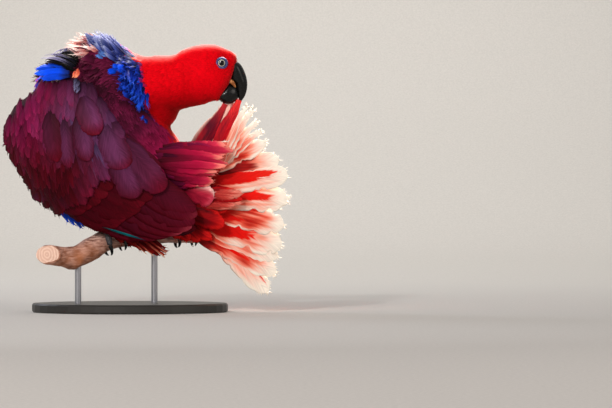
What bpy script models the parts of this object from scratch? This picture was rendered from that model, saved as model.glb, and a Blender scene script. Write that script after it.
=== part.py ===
"""A hen eclectus parrot preening its fanned tail, life size, on a short perch and a display stand.

The bird faces left and a little away from the front view, with its left wing to the viewer, its neck
turned back over its shoulder, and its bill at the topmost tail feather. Sizes are in millimetres until
a mesh is made, in metres. +Z is up, and the origin is the centre of the stand's underside.
"""

import math

import bmesh
import bpy
import numpy as np
from mathutils import Matrix, Vector

MM = 0.001
GAP = 0.3

# The trunk, from the shoulders to the tail root: centre, half height and half breadth.
TRUNK_AXIS = (0.62, 0.0, -0.78)
TRUNK = [
    ((-80, 14, 245), 16, 14),
    ((-69, 13, 231), 41, 32),
    ((-46, 11, 201), 59, 45),
    ((-25, 9, 172), 63, 48),
    ((-6, 7, 151), 58, 46),
    ((16, 4, 135), 48, 38),
    ((35, 2, 123), 32, 25),
    ((48, 0, 112), 15, 12),
]
# The neck and head: centre, the way the ring faces, half height and half breadth.
NECK = [
    ((-32, 13, 219), (0.60, 0.0, 0.80), 46, 38),
    ((-7, 9, 233), (0.82, 0.0, 0.57), 43, 35),
    ((14, 5, 224), (0.97, 0.0, 0.24), 35, 30),
    ((31, 2, 226), (0.99, 0.0, 0.10), 31, 26),
    ((45, 0, 229), (1.0, 0.0, 0.0), 29, 23),
    ((59, -1, 234), (0.99, 0.0, 0.12), 30, 21.5),
    ((72, -2, 237), (1.0, 0.0, 0.06), 30.5, 21.5),
    ((84, -2, 239), (1.0, 0.0, 0.0), 29, 20),
    ((93, -2, 238.5), (1.0, 0.0, -0.04), 25.5, 17),
    ((100, -2, 238), (1.0, 0.0, -0.08), 19.5, 13.5),
    ((105, -2, 238), (1.0, 0.0, -0.08), 11, 9),
]
THROAT = ((27, 7, 209), (23, 24, 26))
BODY_VOXEL = 3.2
BODY_TRIANGLES = 1700
# Where thin cuts part the body: a point of each cut and the way it faces.
HEAD_CUT = ((55, 0, 0), (1.0, 0.0, 0.0))
NECK_CUT = ((8, 0, 243), (0.84, 0.0, 0.54))
RUMP_CUT = ((2, 0, 143), (0.62, 0.0, -0.78))

# A vane's stations along it and its half width at each, as shares, and its thickness from root to tip.
LONG_VANE = ((0.0, 0.18, 0.42, 0.66, 0.86, 1.0), (0.4, 0.72, 1.0, 1.0, 0.78, 0.3))
SHORT_VANE = ((0.0, 0.3, 0.62, 0.85, 1.0), (0.45, 0.85, 1.0, 0.8, 0.3))
VANE_THICK = (0.62, 0.54, 0.3)

# The blue band across the nape: rings between the neck's second and third stations, by share.
BAND_RINGS = (0.05, 0.55)
BAND_COUNT = 8
BAND_ANGLES = (24, -148)
BAND_SIZE = (19, 17)
# Rows of raised mantle feathers and hanging belly feathers: count, first and last root, heading,
# length, width, and the rise of the first and last.
TORSO_ROWS = {
    "crest": (6, (-18, 4, 277), (-88, 12, 252), (-0.85, -0.15, -0.45), 26, 19, (30, 24)),
    "mantle_near": (5, (-26, -26, 262), (-76, -8, 247), (-0.8, 0.0, -0.55), 26, 19, (17, 20)),
    "mantle_far": (5, (-26, 40, 262), (-76, 32, 247), (-0.8, 0.0, -0.55), 26, 19, (17, 20)),
    "belly": (3, (-70, -6, 130), (-53, -8, 116), (0.2, 0.0, -1.0), 33, 13, (34, 40)),
}
# The long coverts over the tail's base, by x and height of root and tip, all of one width.
COVERT_WIDTH = 17
UPPER_COVERTS = [
    ((40, 165), (101, 160.5)),
    ((40, 158), (99, 150)),
    ((40, 150), (94, 141)),
    ((40, 142), (87, 133)),
    ((40, 134), (80, 121)),
]

# Each wing is a curved sheet: its highest point, the way along it and the way out of it.
WING_AFT = 175
WING_FORE = 98
WING_SIDE = 86
WING_FLATTER = 26
WING_BULGE = 56
LEFT_WING = ((-30, -50, 172), (0.82, 0.0, -0.57), (0, -1, 0))
RIGHT_WING = ((-20, 71, 181), (0.80, -0.02, -0.54), (0.10, 0.99, 0))
# The wing's flesh on its sheet, as length along and across: the arm, and the hand under its fore edge.
ARM_OUTLINE = [
    (-78, 24), (-86, -4), (-93, -21), (-89, -34), (-81, -47), (-69, -58), (-55, -66),
    (-38, -73), (-20, -80.5), (-4, -81.5), (9, -81), (12, -69), (22, -58), (38, -51),
    (43, -36), (36, -14), (28, 8), (14, 20), (-4, 30), (-38, 44), (-60, 37),
]
HAND_OUTLINE = [
    (9.6, -81), (22, -76.5), (38, -70.5), (52, -65), (64, -60), (62, -51), (46, -48),
    (38.4, -51.6), (22.5, -58.7), (12.6, -69.5),
]
ARM_LIFTS = (-13, 0)
HAND_LIFTS = (-10, -4.9)
# Rows of wing feathers: count, first and last root, first and last tip, width, the lift of root and tip
# off the sheet, the slope from the edge that lies under up to the one that lies over, and bow.
HAND_ROWS = {
    "primary": (7, (20, -71), (52, -57), (90, -49), (130, -17), 17, (-6.6, -6.6), 0.17, -3),
}
ARM_ROWS = {
    "secondary": (7, (24, -46), (-14, 6), (126, -13), (56, 19), 20, (-2.4, -2.4), 0.165, -4),
    "greater_covert": (8, (25, -60), (-2, 20), (72, -55), (44, 8), 17, (-1.0, 1.3), 0.1, 0),
    "median_covert": (8, (-6, -72), (-18, 30), (29, -70), (12, 12), 17, (-1.0, 3.1), 0.1, 0),
}
# The long rounded feathers of the shoulder, which lie over the rest: root, tip and width.
SHOULDER_FEATHERS = [
    ((-24, 12), (24, -36), 21),
    ((-4, 17), (68, -18), 22),
    ((14, 22), (84, 3), 21),
    ((-40, 36), (4, -8), 20),
    ((-24, 38), (34, 10), 20),
]
SHOULDER_LIFTS = (-1.4, 5.6, 0.9)

# The spread tail: its fan's centre, the feathers' angles from the lowest to the topmost, and their reach.
TAIL_ROOT = (37, -7, 117)
TAIL_FLESH = (31, 9, 33)
TAIL_ANGLES = (-43.5, -37, -28.5, -20, -11, -1, 8, 17, 29, 42, 51, 61.5)
TAIL_REACH = ((-44, 139), (-36, 137), (-11, 124), (17, 122), (62, 117))
TAIL_STEP = 1.2
TAIL_LEAN = 0.06
TAIL_WIDTH = 25
# Short feathers at the tail's base, over it and at its lower edge: root and tip as x and height, the
# depth of both, and width.
BASE_FEATHERS = [
    ((44, 124), (86, 106), (-13, -15), 18),
    ((44, 112), (93, 86), (-12, -15), 19),
    ((42, 102), (76, 72), (-6, -6), 12),
    ((38, 100), (65, 68), (-6, -7.2), 12),
    ((34, 99), (52, 69), (-6, -8.4), 12),
]

# The perch's centre line from its cut end, with its radius.
PERCH = [
    ((-79, -44, 58), 10.0),
    ((-66, -35, 56.5), 9.8),
    ((-52, -26, 56), 10.6),
    ((-38, -17, 63), 11.2),
    ((-24, -10, 71), 10.2),
    ((-6, -3, 74.5), 9.2),
    ((20, 7, 76.5), 8.6),
    ((46, 16, 77.5), 8.4),
    ((66, 22, 77.5), 8.6),
    ((86, 28, 79), 8.2),
]

# Each leg: hip, heel, and where along the perch its foot grips.
LEGS = {
    "left": {"hip": (-6, -10, 128), "heel": (-34, -9, 90), "grip": -16},
    "right": {"hip": (30, 24, 126), "heel": (52, 22, 99), "grip": 55},
}
THIGH_RADII = (18, 13, 6.5)
TARSUS_RADIUS = 4.0
TOE_RADIUS = 3.1
TOE_SPREAD = 8.0
FOOT_PAD = (7.5, 7.0, 3.4)
# The toes: how far each is set along the perch, and the angles round it where it starts and ends.
TOES = {
    1: (0.55, 14, 92),
    4: (-0.75, 14, 104),
    2: (0.7, -14, -100),
    3: (-0.6, -14, -112),
}
CLAW_SWEEP = 52
# The streaky feathers that hang from the left thigh over the perch: root and tip as x and height.
FLANK_WIDTH = 10
FLANK_FEATHERS = [
    ((-28, 98), (37, 56)),
    ((-25, 102), (34, 62)),
    ((-22, 104), (24, 62)),
    ((-22, 104), (14, 66)),
    ((-24, 104), (6, 72)),
]

# Both halves of the bill, as points and radii along each, and the eyes' height, place and radius.
UPPER_BILL = [
    ((101, -2, 243), 10.5),
    ((106.5, -2, 238.5), 10.3),
    ((109.3, -2, 231), 8.7),
    ((110.7, -2, 223), 6.4),
    ((110.9, -2, 216), 4.0),
    ((110.2, -2, 210), 1.1),
]
LOWER_BILL = [
    ((93, -2, 214.5), 7.6),
    ((98.5, -2, 215.5), 7.4),
    ((102, -2, 219.5), 6.0),
    ((103.3, -2, 224.5), 3.2),
]
EYE_X = 92.4
EYE_Z = 249.1
EYE_RADIUS = 6.2
EYE_PROUD = 1.6

# The display stand.
BASE_HALF = (98, 68)
BASE_HEIGHT = 9
BASE_EDGE = 1.5
ROD_RADIUS = 3.2
ROD_X = (-50, 24)

# What each node is made of, by the start of its name: colour, roughness and metallic value.
FINISHES = {
    "head": ((0.62, 0.012, 0.02), 0.6, 0.0),
    "neck": ((0.62, 0.012, 0.02), 0.6, 0.0),
    "tail": ((0.55, 0.02, 0.02), 0.55, 0.0),
    "bill": ((0.025, 0.024, 0.024), 0.3, 0.0),
    "claw": ((0.025, 0.024, 0.024), 0.35, 0.0),
    "eye": ((0.03, 0.02, 0.015), 0.05, 0.0),
    "foot": ((0.09, 0.085, 0.09), 0.6, 0.0),
    "tarsus": ((0.09, 0.085, 0.09), 0.6, 0.0),
    "perch": ((0.46, 0.24, 0.16), 0.8, 0.0),
    "stand_rod": ((0.55, 0.55, 0.56), 0.3, 1.0),
    "stand_base": ((0.035, 0.033, 0.03), 0.35, 0.0),
}
WINE = ((0.13, 0.004, 0.02), 0.6, 0.0)


def clear_scene():
    """Removes what the startup scene holds."""
    for thing in list(bpy.data.objects):
        bpy.data.objects.remove(thing)


def collection(name, hidden=False):
    """A new collection in the scene."""
    made = bpy.data.collections.new(name)
    bpy.context.scene.collection.children.link(made)
    made.hide_render = hidden
    return made


def unit(v):
    """A vector of length one."""
    v = np.asarray(v, float)
    return v / np.linalg.norm(v)


def mix(a, b, share):
    """A point or number part way from one to another."""
    return np.array(a, float) * (1 - share) + np.array(b, float) * share


def smooth_rows(rows, steps):
    """Rows of numbers drawn out into a Catmull-Rom curve, with this many steps between each pair."""
    rows = np.asarray(rows, float)
    ends = np.vstack([2 * rows[0] - rows[1], rows, 2 * rows[-1] - rows[-2]])
    found = []
    for i in range(len(rows) - 1):
        a, b, c, d = ends[i : i + 4]
        for t in np.arange(steps) / steps:
            cubic = (3 * b - a - 3 * c + d) * t**3
            found.append(0.5 * (2 * b + (c - a) * t + (2 * a - 5 * b + 4 * c - d) * t**2 + cubic))
    return np.array(found + [rows[-1]])


def linked(name, made, into):
    """An object in a collection from a finished bmesh, with its faces made to face out."""
    bmesh.ops.recalc_face_normals(made, faces=made.faces)
    mesh = bpy.data.meshes.new(name)
    made.to_mesh(mesh)
    made.free()
    thing = bpy.data.objects.new(name, mesh)
    into.objects.link(thing)
    return thing


def add_mesh(name, points, faces, into):
    """An object of these points, in millimetres, and faces."""
    mesh = bpy.data.meshes.new(name)
    mesh.from_pydata([tuple(c * MM for c in p) for p in points], [], faces)
    made = bmesh.new()
    made.from_mesh(mesh)
    bpy.data.meshes.remove(mesh)
    return linked(name, made, into)


def apply_modifiers(thing):
    """Bakes an object's modifiers into its mesh."""
    bpy.context.view_layer.update()
    graph = bpy.context.evaluated_depsgraph_get()
    mesh = bpy.data.meshes.new_from_object(thing.evaluated_get(graph))
    thing.modifiers.clear()
    thing.data = mesh


def keep_largest(thing):
    """Drops all but the largest closed surface of an object's mesh."""
    made = bmesh.new()
    made.from_mesh(thing.data)
    left = set(made.verts)
    shells = []
    while left:
        shell = {left.pop()}
        front = list(shell)
        while front:
            for edge in front.pop().link_edges:
                for vert in edge.verts:
                    if vert in left:
                        left.discard(vert)
                        shell.add(vert)
                        front.append(vert)
        shells.append(shell)
    spans = [max(v.co.x - v.co.z for v in s) - min(v.co.x - v.co.z for v in s) for s in shells]
    best = shells[spans.index(max(spans))]
    bmesh.ops.delete(made, geom=[v for v in made.verts if v not in best], context="VERTS")
    made.to_mesh(thing.data)
    made.free()


def boolean(thing, other, operation, solver="EXACT"):
    """Joins or cuts an object by another, or by all of a collection, and keeps its largest surface."""
    cut = thing.modifiers.new(operation.lower(), "BOOLEAN")
    cut.operation = operation
    cut.solver = solver
    if isinstance(other, bpy.types.Collection):
        cut.operand_type = "COLLECTION"
        cut.collection = other
    else:
        cut.object = other
    apply_modifiers(thing)
    keep_largest(thing)


def fuse(thing, pieces):
    """Joins a collection's pieces to the thing they grow from, and removes the collection."""
    boolean(thing, pieces, "UNION", solver="MANIFOLD")
    for loose in list(pieces.objects):
        bpy.data.objects.remove(loose)
    bpy.data.collections.remove(pieces)


def swollen(thing, into):
    """A copy of an object pushed out by the gap, to cut its neighbours back."""
    copy = bpy.data.objects.new(thing.name + "_swollen", thing.data.copy())
    into.objects.link(copy)
    copy.display_type = "WIRE"
    copy.hide_render = True
    push = copy.modifiers.new("push", "DISPLACE")
    push.mid_level = 0
    push.strength = GAP * MM
    apply_modifiers(copy)
    return copy


def cut_plane(thing, plane, keep_ahead):
    """Cuts an object half a gap from a plane and closes the cut."""
    made = bmesh.new()
    made.from_mesh(thing.data)
    facing = Vector(unit(plane[1]))
    point = Vector(plane[0]) + facing * (GAP / 2 if keep_ahead else -GAP / 2)
    found = bmesh.ops.bisect_plane(
        made,
        geom=made.verts[:] + made.edges[:] + made.faces[:],
        plane_co=point * MM,
        plane_no=facing,
        clear_inner=keep_ahead,
        clear_outer=not keep_ahead,
    )
    rim = [g for g in found["geom_cut"] if isinstance(g, bmesh.types.BMEdge)]
    bmesh.ops.contextual_create(made, geom=rim)
    bmesh.ops.recalc_face_normals(made, faces=made.faces)
    bmesh.ops.triangulate(made, faces=made.faces)
    made.to_mesh(thing.data)
    made.free()


def ring_loft(name, rings, into, sides=20, steps=2):
    """A closed body through rings given as centre, facing, half height and half breadth."""
    rows = smooth_rows([[*c, *unit(n), h, b] for c, n, h, b in rings], steps)
    points = []
    for row in rows:
        centre, facing = row[:3], unit(row[3:6])
        side = unit(np.cross((0, 0, 1), facing))
        up = np.cross(facing, side)
        for k in range(sides):
            a = 2 * math.pi * k / sides
            points.append(centre + up * row[6] * math.cos(a) + side * row[7] * math.sin(a))
    faces = [tuple(range(sides)), tuple(range(len(points) - sides, len(points)))]
    for i in range(len(rows) - 1):
        for k in range(sides):
            m = (k + 1) % sides
            a, b = i * sides, (i + 1) * sides
            faces.append((a + k, a + m, b + m, b + k))
    return add_mesh(name, points, faces, into)


def ball(name, centre, radii, into, segments=16, rings=10):
    """A ball or egg of these half sizes."""
    made = bmesh.new()
    bmesh.ops.create_uvsphere(made, u_segments=segments, v_segments=rings, radius=1)
    place = Matrix.Translation(Vector(centre) * MM) @ Matrix.Diagonal((*(Vector(radii) * MM), 1))
    bmesh.ops.transform(made, matrix=place, verts=made.verts)
    return linked(name, made, into)


def tube_line(rows, steps):
    """A tube's centres, radii and directions, drawn smoothly through rows of point and radius."""
    drawn = smooth_rows([[*p, r] for p, r in rows], steps)
    ahead = np.gradient(drawn[:, :3], axis=0)
    return drawn[:, :3], drawn[:, 3], ahead / np.linalg.norm(ahead, axis=1)[:, None]


def tube(name, rows, into, roundness=2, steps=2):
    """A round tube of changing radius, from a bevelled curve made into a closed mesh."""
    centres, radii, _ = tube_line(rows, steps)
    curve = bpy.data.curves.new(name, "CURVE")
    curve.dimensions = "3D"
    curve.bevel_depth = MM
    curve.bevel_resolution = roundness
    curve.use_fill_caps = True
    line = curve.splines.new("POLY")
    line.points.add(len(centres) - 1)
    for point, centre, radius in zip(line.points, centres, radii):
        point.co = (*(Vector(centre) * MM), 1)
        point.radius = radius
    drawn = bpy.data.objects.new(name + "_line", curve)
    bpy.context.scene.collection.objects.link(drawn)
    bpy.context.view_layer.update()
    mesh = bpy.data.meshes.new_from_object(drawn.evaluated_get(bpy.context.evaluated_depsgraph_get()))
    bpy.data.objects.remove(drawn)
    made = bmesh.new()
    made.from_mesh(mesh)
    bmesh.ops.remove_doubles(made, verts=made.verts, dist=0.01 * MM)
    return linked(name, made, into)


def vane(name, rails, into, ridge=0.0):
    """A closed feather vane through rails of left edge, middle, right edge and normal at each station.

    With a ridge the section has a raised middle. Both faces are split into triangles alike.
    """
    n = 3 if ridge else 2
    points, faces = [], []
    for k, (left, centre, right, normal) in enumerate(rails):
        half = np.interp(k / (len(rails) - 1), (0, 0.85, 1), VANE_THICK) / 2
        across = [left, centre + normal * ridge, right] if ridge else [left, right]
        points.extend(p + normal * half for p in across)
        points.extend(p - normal * half for p in across)
    step = 2 * n
    for i in range(len(rails) - 1):
        a, b = i * step, (i + 1) * step
        for j in range(n - 1):
            faces += [(a + j, a + j + 1, b + j + 1), (a + j, b + j + 1, b + j)]
            faces += [(a + n + j, b + n + j + 1, a + n + j + 1), (a + n + j, b + n + j, b + n + j + 1)]
        for j in (0, n - 1):
            faces += [(a + j, b + j, b + n + j), (a + j, b + n + j, a + n + j)]
    for a in (0, (len(rails) - 1) * step):
        for j in range(n - 1):
            faces += [(a + j, a + j + 1, a + n + j + 1), (a + j, a + n + j + 1, a + n + j)]
    return add_mesh(name, points, faces, into)


def facing_way(v, way):
    """A unit vector turned, if need be, to point the same way as another."""
    v = unit(v)
    return v if v @ way > 0 else -v


def body_vane(name, body, near, heading, length, width, rise, into, tilt=0.0):
    """A vane rooted in the body's nearest surface, laid along a heading and raised by an angle."""
    _, place, normal, _ = body.closest_point_on_mesh(Vector(near) * MM)
    place, normal = np.array(place) / MM, np.array(normal)
    heading = np.asarray(heading, float)
    along = unit(heading - normal * (heading @ normal))
    side = unit(np.cross(normal, along))
    rails = []
    for t, share in zip(*SHORT_VANE):
        angle = math.radians(rise + 7 * t)
        centre = place - normal * 1.6 + (along * math.cos(angle) + normal * math.sin(angle)) * length * t
        up = normal * math.cos(angle) - along * math.sin(angle)
        across = unit(side + up * math.tan(math.radians(tilt)))
        half = across * share * width / 2
        rails.append((centre - half, centre, centre + half, facing_way(np.cross(along, across), up)))
    return vane(name, rails, into)


def span_vane(name, start, end, bulge, width, into, tilt=0.0, ridge=0.0):
    """A vane from one point to another, bowed to the front on its way and leaning across by a tilt."""
    start, end, front = np.array(start, float), np.array(end, float), np.array((0, -1.0, 0))
    run = unit(end - start)
    across = facing_way(np.cross(front, run), (0, 0, 1)) + front * math.tan(math.radians(tilt))
    normal = facing_way(np.cross(run, across), front)
    rails = []
    for t, share in zip(*LONG_VANE):
        centre = start + (end - start) * t + front * bulge * 4 * t * (1 - t)
        half = across * share * width / 2
        rails.append((centre - half, centre, centre + half, normal))
    return vane(name, rails, into, ridge=ridge)


def make_body(parts, guides):
    """Head, neck, torso and rump: one smooth body parted by thin cuts. Returns the body before them."""
    whole = ring_loft("body_whole", [(c, TRUNK_AXIS, h, b) for c, h, b in TRUNK], guides)
    joined = collection("joined_forms", hidden=True)
    ring_loft("neck_form", NECK, joined)
    ball("throat_form", *THROAT, joined)
    fuse(whole, joined)
    even = whole.modifiers.new("even", "REMESH")
    even.mode = "VOXEL"
    even.voxel_size = BODY_VOXEL * MM
    soften = whole.modifiers.new("soften", "SMOOTH")
    soften.factor = 0.5
    soften.iterations = 8
    apply_modifiers(whole)
    whole.data.calc_loop_triangles()
    fewer = whole.modifiers.new("fewer", "DECIMATE")
    fewer.ratio = BODY_TRIANGLES / len(whole.data.loop_triangles)
    fewer.use_collapse_triangulate = True
    apply_modifiers(whole)
    keep_largest(whole)
    cuts = {
        "head": [(HEAD_CUT, True)],
        "neck": [(HEAD_CUT, False), (NECK_CUT, True)],
        "torso": [(NECK_CUT, False), (RUMP_CUT, False)],
        "rump": [(RUMP_CUT, True), (NECK_CUT, False)],
    }
    for name, planes in cuts.items():
        piece = bpy.data.objects.new(name, whole.data.copy())
        parts.objects.link(piece)
        for plane, ahead in planes:
            cut_plane(piece, plane, ahead)
        keep_largest(piece)
    return whole


def dress_torso(whole, torso):
    """The torso's long feathers: the nape band, the raised mantle and the hanging belly tufts."""
    vanes = collection("torso_vanes", hidden=True)
    depth = np.array((0, 1.0, 0))
    for row, share in enumerate(BAND_RINGS):
        centre, height, breadth = (mix(NECK[1][k], NECK[2][k], share) for k in (0, 2, 3))
        facing = unit(mix(NECK[1][1], NECK[2][1], share))
        up = np.cross(facing, depth)
        for k in range(BAND_COUNT):
            angle = math.radians(mix(*BAND_ANGLES, (k + 0.5 * row) / BAND_COUNT))
            near = centre + up * math.cos(angle) * height + depth * math.sin(angle) * breadth
            rise = 13 + 19 * max(0, math.cos(angle))
            body_vane(f"band_{row}_{k}", whole, near, -facing, *BAND_SIZE, rise, vanes)
    for name, (count, first, last, heading, length, width, rise) in TORSO_ROWS.items():
        for k in range(count):
            share = k / (count - 1)
            near, up = mix(first, last, share), mix(*rise, share)
            tilt = 4 if k % 2 else -4
            body_vane(f"{name}_{k}", whole, near, heading, length, width, up, vanes, tilt)
    fuse(torso, vanes)


def dress_rump(rump):
    """The long coverts over the base of the tail."""
    vanes = collection("rump_vanes", hidden=True)
    for k, ((x, z), (tip_x, tip_z)) in enumerate(UPPER_COVERTS):
        tip = (tip_x, -19 + 0.3 * k, tip_z)
        span_vane(f"upper_{k}", (x, -17, z), tip, 5, COVERT_WIDTH, vanes, tilt=6)
    fuse(rump, vanes)


class Sheet:
    """A wing's curved sheet, which turns places along and across it into points in space."""

    def __init__(self, origin, along, out):
        self.origin = np.array(origin, float)
        self.out = unit(out)
        along = np.array(along, float)
        self.along = unit(along - self.out * (along @ self.out))
        self.across = facing_way(np.cross(self.along, self.out), (0, 0, 1))

    def flat(self, l, s):
        """The sheet's own point at l along and s across, with no lift."""
        reach = WING_AFT if l > 0 else WING_FORE
        share = min(1, max(0, (l + 20) / 90))
        side = WING_SIDE + WING_FLATTER * share * share * (3 - 2 * share)
        fall = math.sqrt(max(0.05, 1 - (l / reach) ** 2 - (s / side) ** 2))
        return self.origin + self.along * l + self.across * s - self.out * WING_BULGE * (1 - fall)

    def at(self, l, s, lift=0.0):
        """The point lifted off the sheet along its normal."""
        along = self.flat(l + 0.5, s) - self.flat(l - 0.5, s)
        across = self.flat(l, s + 0.5) - self.flat(l, s - 0.5)
        return self.flat(l, s) + facing_way(np.cross(along, across), self.out) * lift


def plate(name, sheet, outline, low, high, into, rings=3):
    """A closed plate that follows the sheet inside an outline, from lift low to lift high."""
    outline = np.array(outline, float)
    middle = outline.mean(0)
    sides = len(outline)
    core = (high + low) / 2
    points, faces = [], []
    for level in (high, low):
        points.append(sheet.at(*middle, level))
        for r in range(1, rings + 1):
            lift = core + (level - core) * (0.35 if r == rings else 1)
            points.extend(sheet.at(*(middle + (p - middle) * r / rings), lift) for p in outline)
    half = 1 + rings * sides
    for base in (0, half):
        for k in range(sides):
            m = (k + 1) % sides
            faces.append((base, base + 1 + k, base + 1 + m))
            for r in range(rings - 1):
                a, b = base + 1 + r * sides, base + 1 + (r + 1) * sides
                faces += [(a + k, b + k, b + m), (a + k, b + m, a + m)]
    for k in range(sides):
        m = (k + 1) % sides
        a, b = 1 + (rings - 1) * sides, half + 1 + (rings - 1) * sides
        faces += [(a + k, a + m, b + m), (a + k, b + m, b + k)]
    return add_mesh(name, points, faces, into)


def sheet_vane(name, sheet, root, tip, width, lifts, slope, bow, into):
    """A vane that follows a wing's sheet from root to tip, its fore edge raised over its neighbour."""
    root, tip = np.array(root, float), np.array(tip, float)
    run = tip - root
    across = facing_way((-run[1], run[0]), (0, 1))
    rails = []
    for t, share in zip(*(LONG_VANE if np.linalg.norm(run) > 60 else SHORT_VANE)):
        place = root + run * t + across * bow * 4 * t * (1 - t)
        lift = mix(*lifts, 1 - (1 - t) ** 3)
        half = share * width / 2
        left, centre, right = (sheet.at(*(place + across * x), lift - x * slope) for x in (-half, 0, half))
        rails.append((left, centre, right, unit(sheet.at(*place, 1) - sheet.at(*place, 0))))
    return vane(name, rails, into)


def feather_row(name, sheet, row, into):
    """A row of vanes with their roots and tips spread evenly from the first to the last."""
    count, root_a, root_b, tip_a, tip_b, width, lifts, slope, bow = row
    for k in range(count):
        share = k / (count - 1)
        root, tip = mix(root_a, root_b, share), mix(tip_a, tip_b, share)
        sheet_vane(f"{name}_{k}", sheet, root, tip, width, lifts, slope, bow, into)


def make_wing(side, frame, parts, cutter):
    """One folded wing: the arm with its secondaries and coverts, and the hand with its primaries."""
    sheet = Sheet(*frame)
    arm = plate(f"wing_{side}_arm", sheet, ARM_OUTLINE, *ARM_LIFTS, parts)
    hand = plate(f"wing_{side}_hand", sheet, HAND_OUTLINE, *HAND_LIFTS, parts, rings=2)
    arm_vanes = collection(f"arm_vanes_{side}", hidden=True)
    hand_vanes = collection(f"hand_vanes_{side}", hidden=True)
    for name, row in ARM_ROWS.items():
        feather_row(f"{name}_{side}", sheet, row, arm_vanes)
    for name, row in HAND_ROWS.items():
        feather_row(f"{name}_{side}", sheet, row, hand_vanes)
    low, high, step = SHOULDER_LIFTS
    for k, (root, tip, width) in enumerate(SHOULDER_FEATHERS):
        name = f"shoulder_{side}_{k}"
        sheet_vane(name, sheet, root, tip, width, (low, high + step * k), 0.05, 0, arm_vanes)
    for piece, vanes in ((arm, arm_vanes), (hand, hand_vanes)):
        fuse(piece, vanes)
        boolean(piece, cutter, "DIFFERENCE", solver="MANIFOLD")


def make_tail(parts, cutter):
    """The spread tail: twelve feathers on a flat root, the middle pair nearest the viewer."""
    tail = ball("tail", TAIL_ROOT, TAIL_FLESH, parts, 16, 8)
    vanes = collection("tail_vanes", hidden=True)
    root = np.array(TAIL_ROOT, float)
    middle = (len(TAIL_ANGLES) - 1) / 2
    for k, degrees in enumerate(TAIL_ANGLES):
        angle = math.radians(degrees)
        reach = float(np.interp(degrees, *zip(*TAIL_REACH)))
        ahead = np.array((math.cos(angle), TAIL_LEAN * math.sin(angle), math.sin(angle)))
        back = np.array((0, TAIL_STEP * abs(k - middle), 0))
        start, end = root + ahead * 12 + back * 0.6, root + ahead * reach + back
        span_vane(f"tail_{k}", start, end, 1.5, TAIL_WIDTH, vanes, ridge=0.5)
    for k, ((x, z), (tip_x, tip_z), (y, tip_y), width) in enumerate(BASE_FEATHERS):
        span_vane(f"base_{k}", (x, y, z), (tip_x, tip_y, tip_z), 1, width, vanes, tilt=4)
    fuse(tail, vanes)
    boolean(tail, cutter, "DIFFERENCE", solver="MANIFOLD")


def perch_at(x):
    """The perch's centre, radius and direction where its line passes this x."""
    centres, radii, ahead = tube_line(PERCH, 8)
    centre = np.array([np.interp(x, centres[:, 0], centres[:, k]) for k in range(3)])
    direction = unit([np.interp(x, centres[:, 0], ahead[:, k]) for k in range(3)])
    return centre, float(np.interp(x, centres[:, 0], radii)), direction


def around(x, angle, lift):
    """A point round the perch at x: angle 0 is on top, and positive angles go down its near side."""
    centre, radius, direction = perch_at(x)
    up = unit(np.array((0, 0, 1.0)) - direction * direction[2])
    near = facing_way(np.cross(direction, up), (0, -1, 0))
    a = math.radians(angle)
    return centre + (up * math.cos(a) + near * math.sin(a)) * (radius + lift)


def toe_rows(along, drift, start, stop):
    """A toe's points and radii round the perch, with knuckles."""
    rows = []
    for i in range(6):
        share = i / 5
        angle = start * 0.2 + (stop - start * 0.2) * share
        knuckle = 0.35 if i in (2, 4) else 0.0
        place = around(along + drift * share, angle, TOE_RADIUS + 0.45)
        rows.append((place, TOE_RADIUS - 0.5 * share + knuckle))
    return rows


def claw_rows(along, stop):
    """A claw's points and radii, curved on round the perch from the toe's end."""
    way = 1 if stop > 0 else -1
    rows = []
    for i in range(5):
        share = i / 4
        angle = stop + way * (6 + CLAW_SWEEP * share)
        rise = TOE_RADIUS + 0.6 + 1.6 * math.sin(math.pi * share) + 1.2 * share
        rows.append((around(along, angle, rise), 2.1 * (1 - share) ** 0.8 + 0.25))
    return rows


def make_leg(side, parts, guides, cutter):
    """Thigh, tarsus, foot and claws of one leg, gripping the perch with two toes each way."""
    leg = LEGS[side]
    hip, heel = np.array(leg["hip"], float), np.array(leg["heel"], float)
    foot_top = around(leg["grip"], 0, TOE_RADIUS + 1.5)
    knee = mix(hip, heel, 0.55) + np.array((-2, 4, 2))
    drop = unit(foot_top - heel)
    ends = (hip, knee, heel + unit(hip - heel))
    thigh = tube(f"thigh_{side}", list(zip(ends, THIGH_RADII)), parts, 4)
    if side == "left":
        vanes = collection("thigh_vanes", hidden=True)
        for k, ((x, z), (tip_x, tip_z)) in enumerate(FLANK_FEATHERS):
            tip = (tip_x, -12 - 1.1 * k, tip_z)
            span_vane(f"flank_{k}", (x, -11, z), tip, 11, FLANK_WIDTH, vanes, tilt=4)
        fuse(thigh, vanes)
    boolean(thigh, cutter, "DIFFERENCE", solver="MANIFOLD")
    foot = ball(f"foot_{side}", around(leg["grip"], 0, TOE_RADIUS + 0.4), FOOT_PAD, parts, 10, 6)
    toes = collection(f"toes_{side}", hidden=True)
    for number, (offset, start, stop) in TOES.items():
        along = leg["grip"] + offset * TOE_SPREAD
        drift = 3.0 if offset > 0 else -3.0
        tube(f"toe_{side}_{number}", toe_rows(along, drift, start, stop), toes, 2, steps=1)
        tube(f"claw_{side}_{number}", claw_rows(along + drift, stop), parts, 1, steps=1)
    fuse(foot, toes)
    shank = [
        (heel - drop * 0.4, TARSUS_RADIUS + 0.6),
        (mix(heel, foot_top, 0.5), TARSUS_RADIUS),
        (foot_top + drop * 3, TARSUS_RADIUS + 0.4),
    ]
    tarsus = tube(f"tarsus_{side}", shank, parts, 2)
    for other in (foot, thigh):
        boolean(tarsus, swollen(other, guides), "DIFFERENCE", solver="MANIFOLD")


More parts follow.
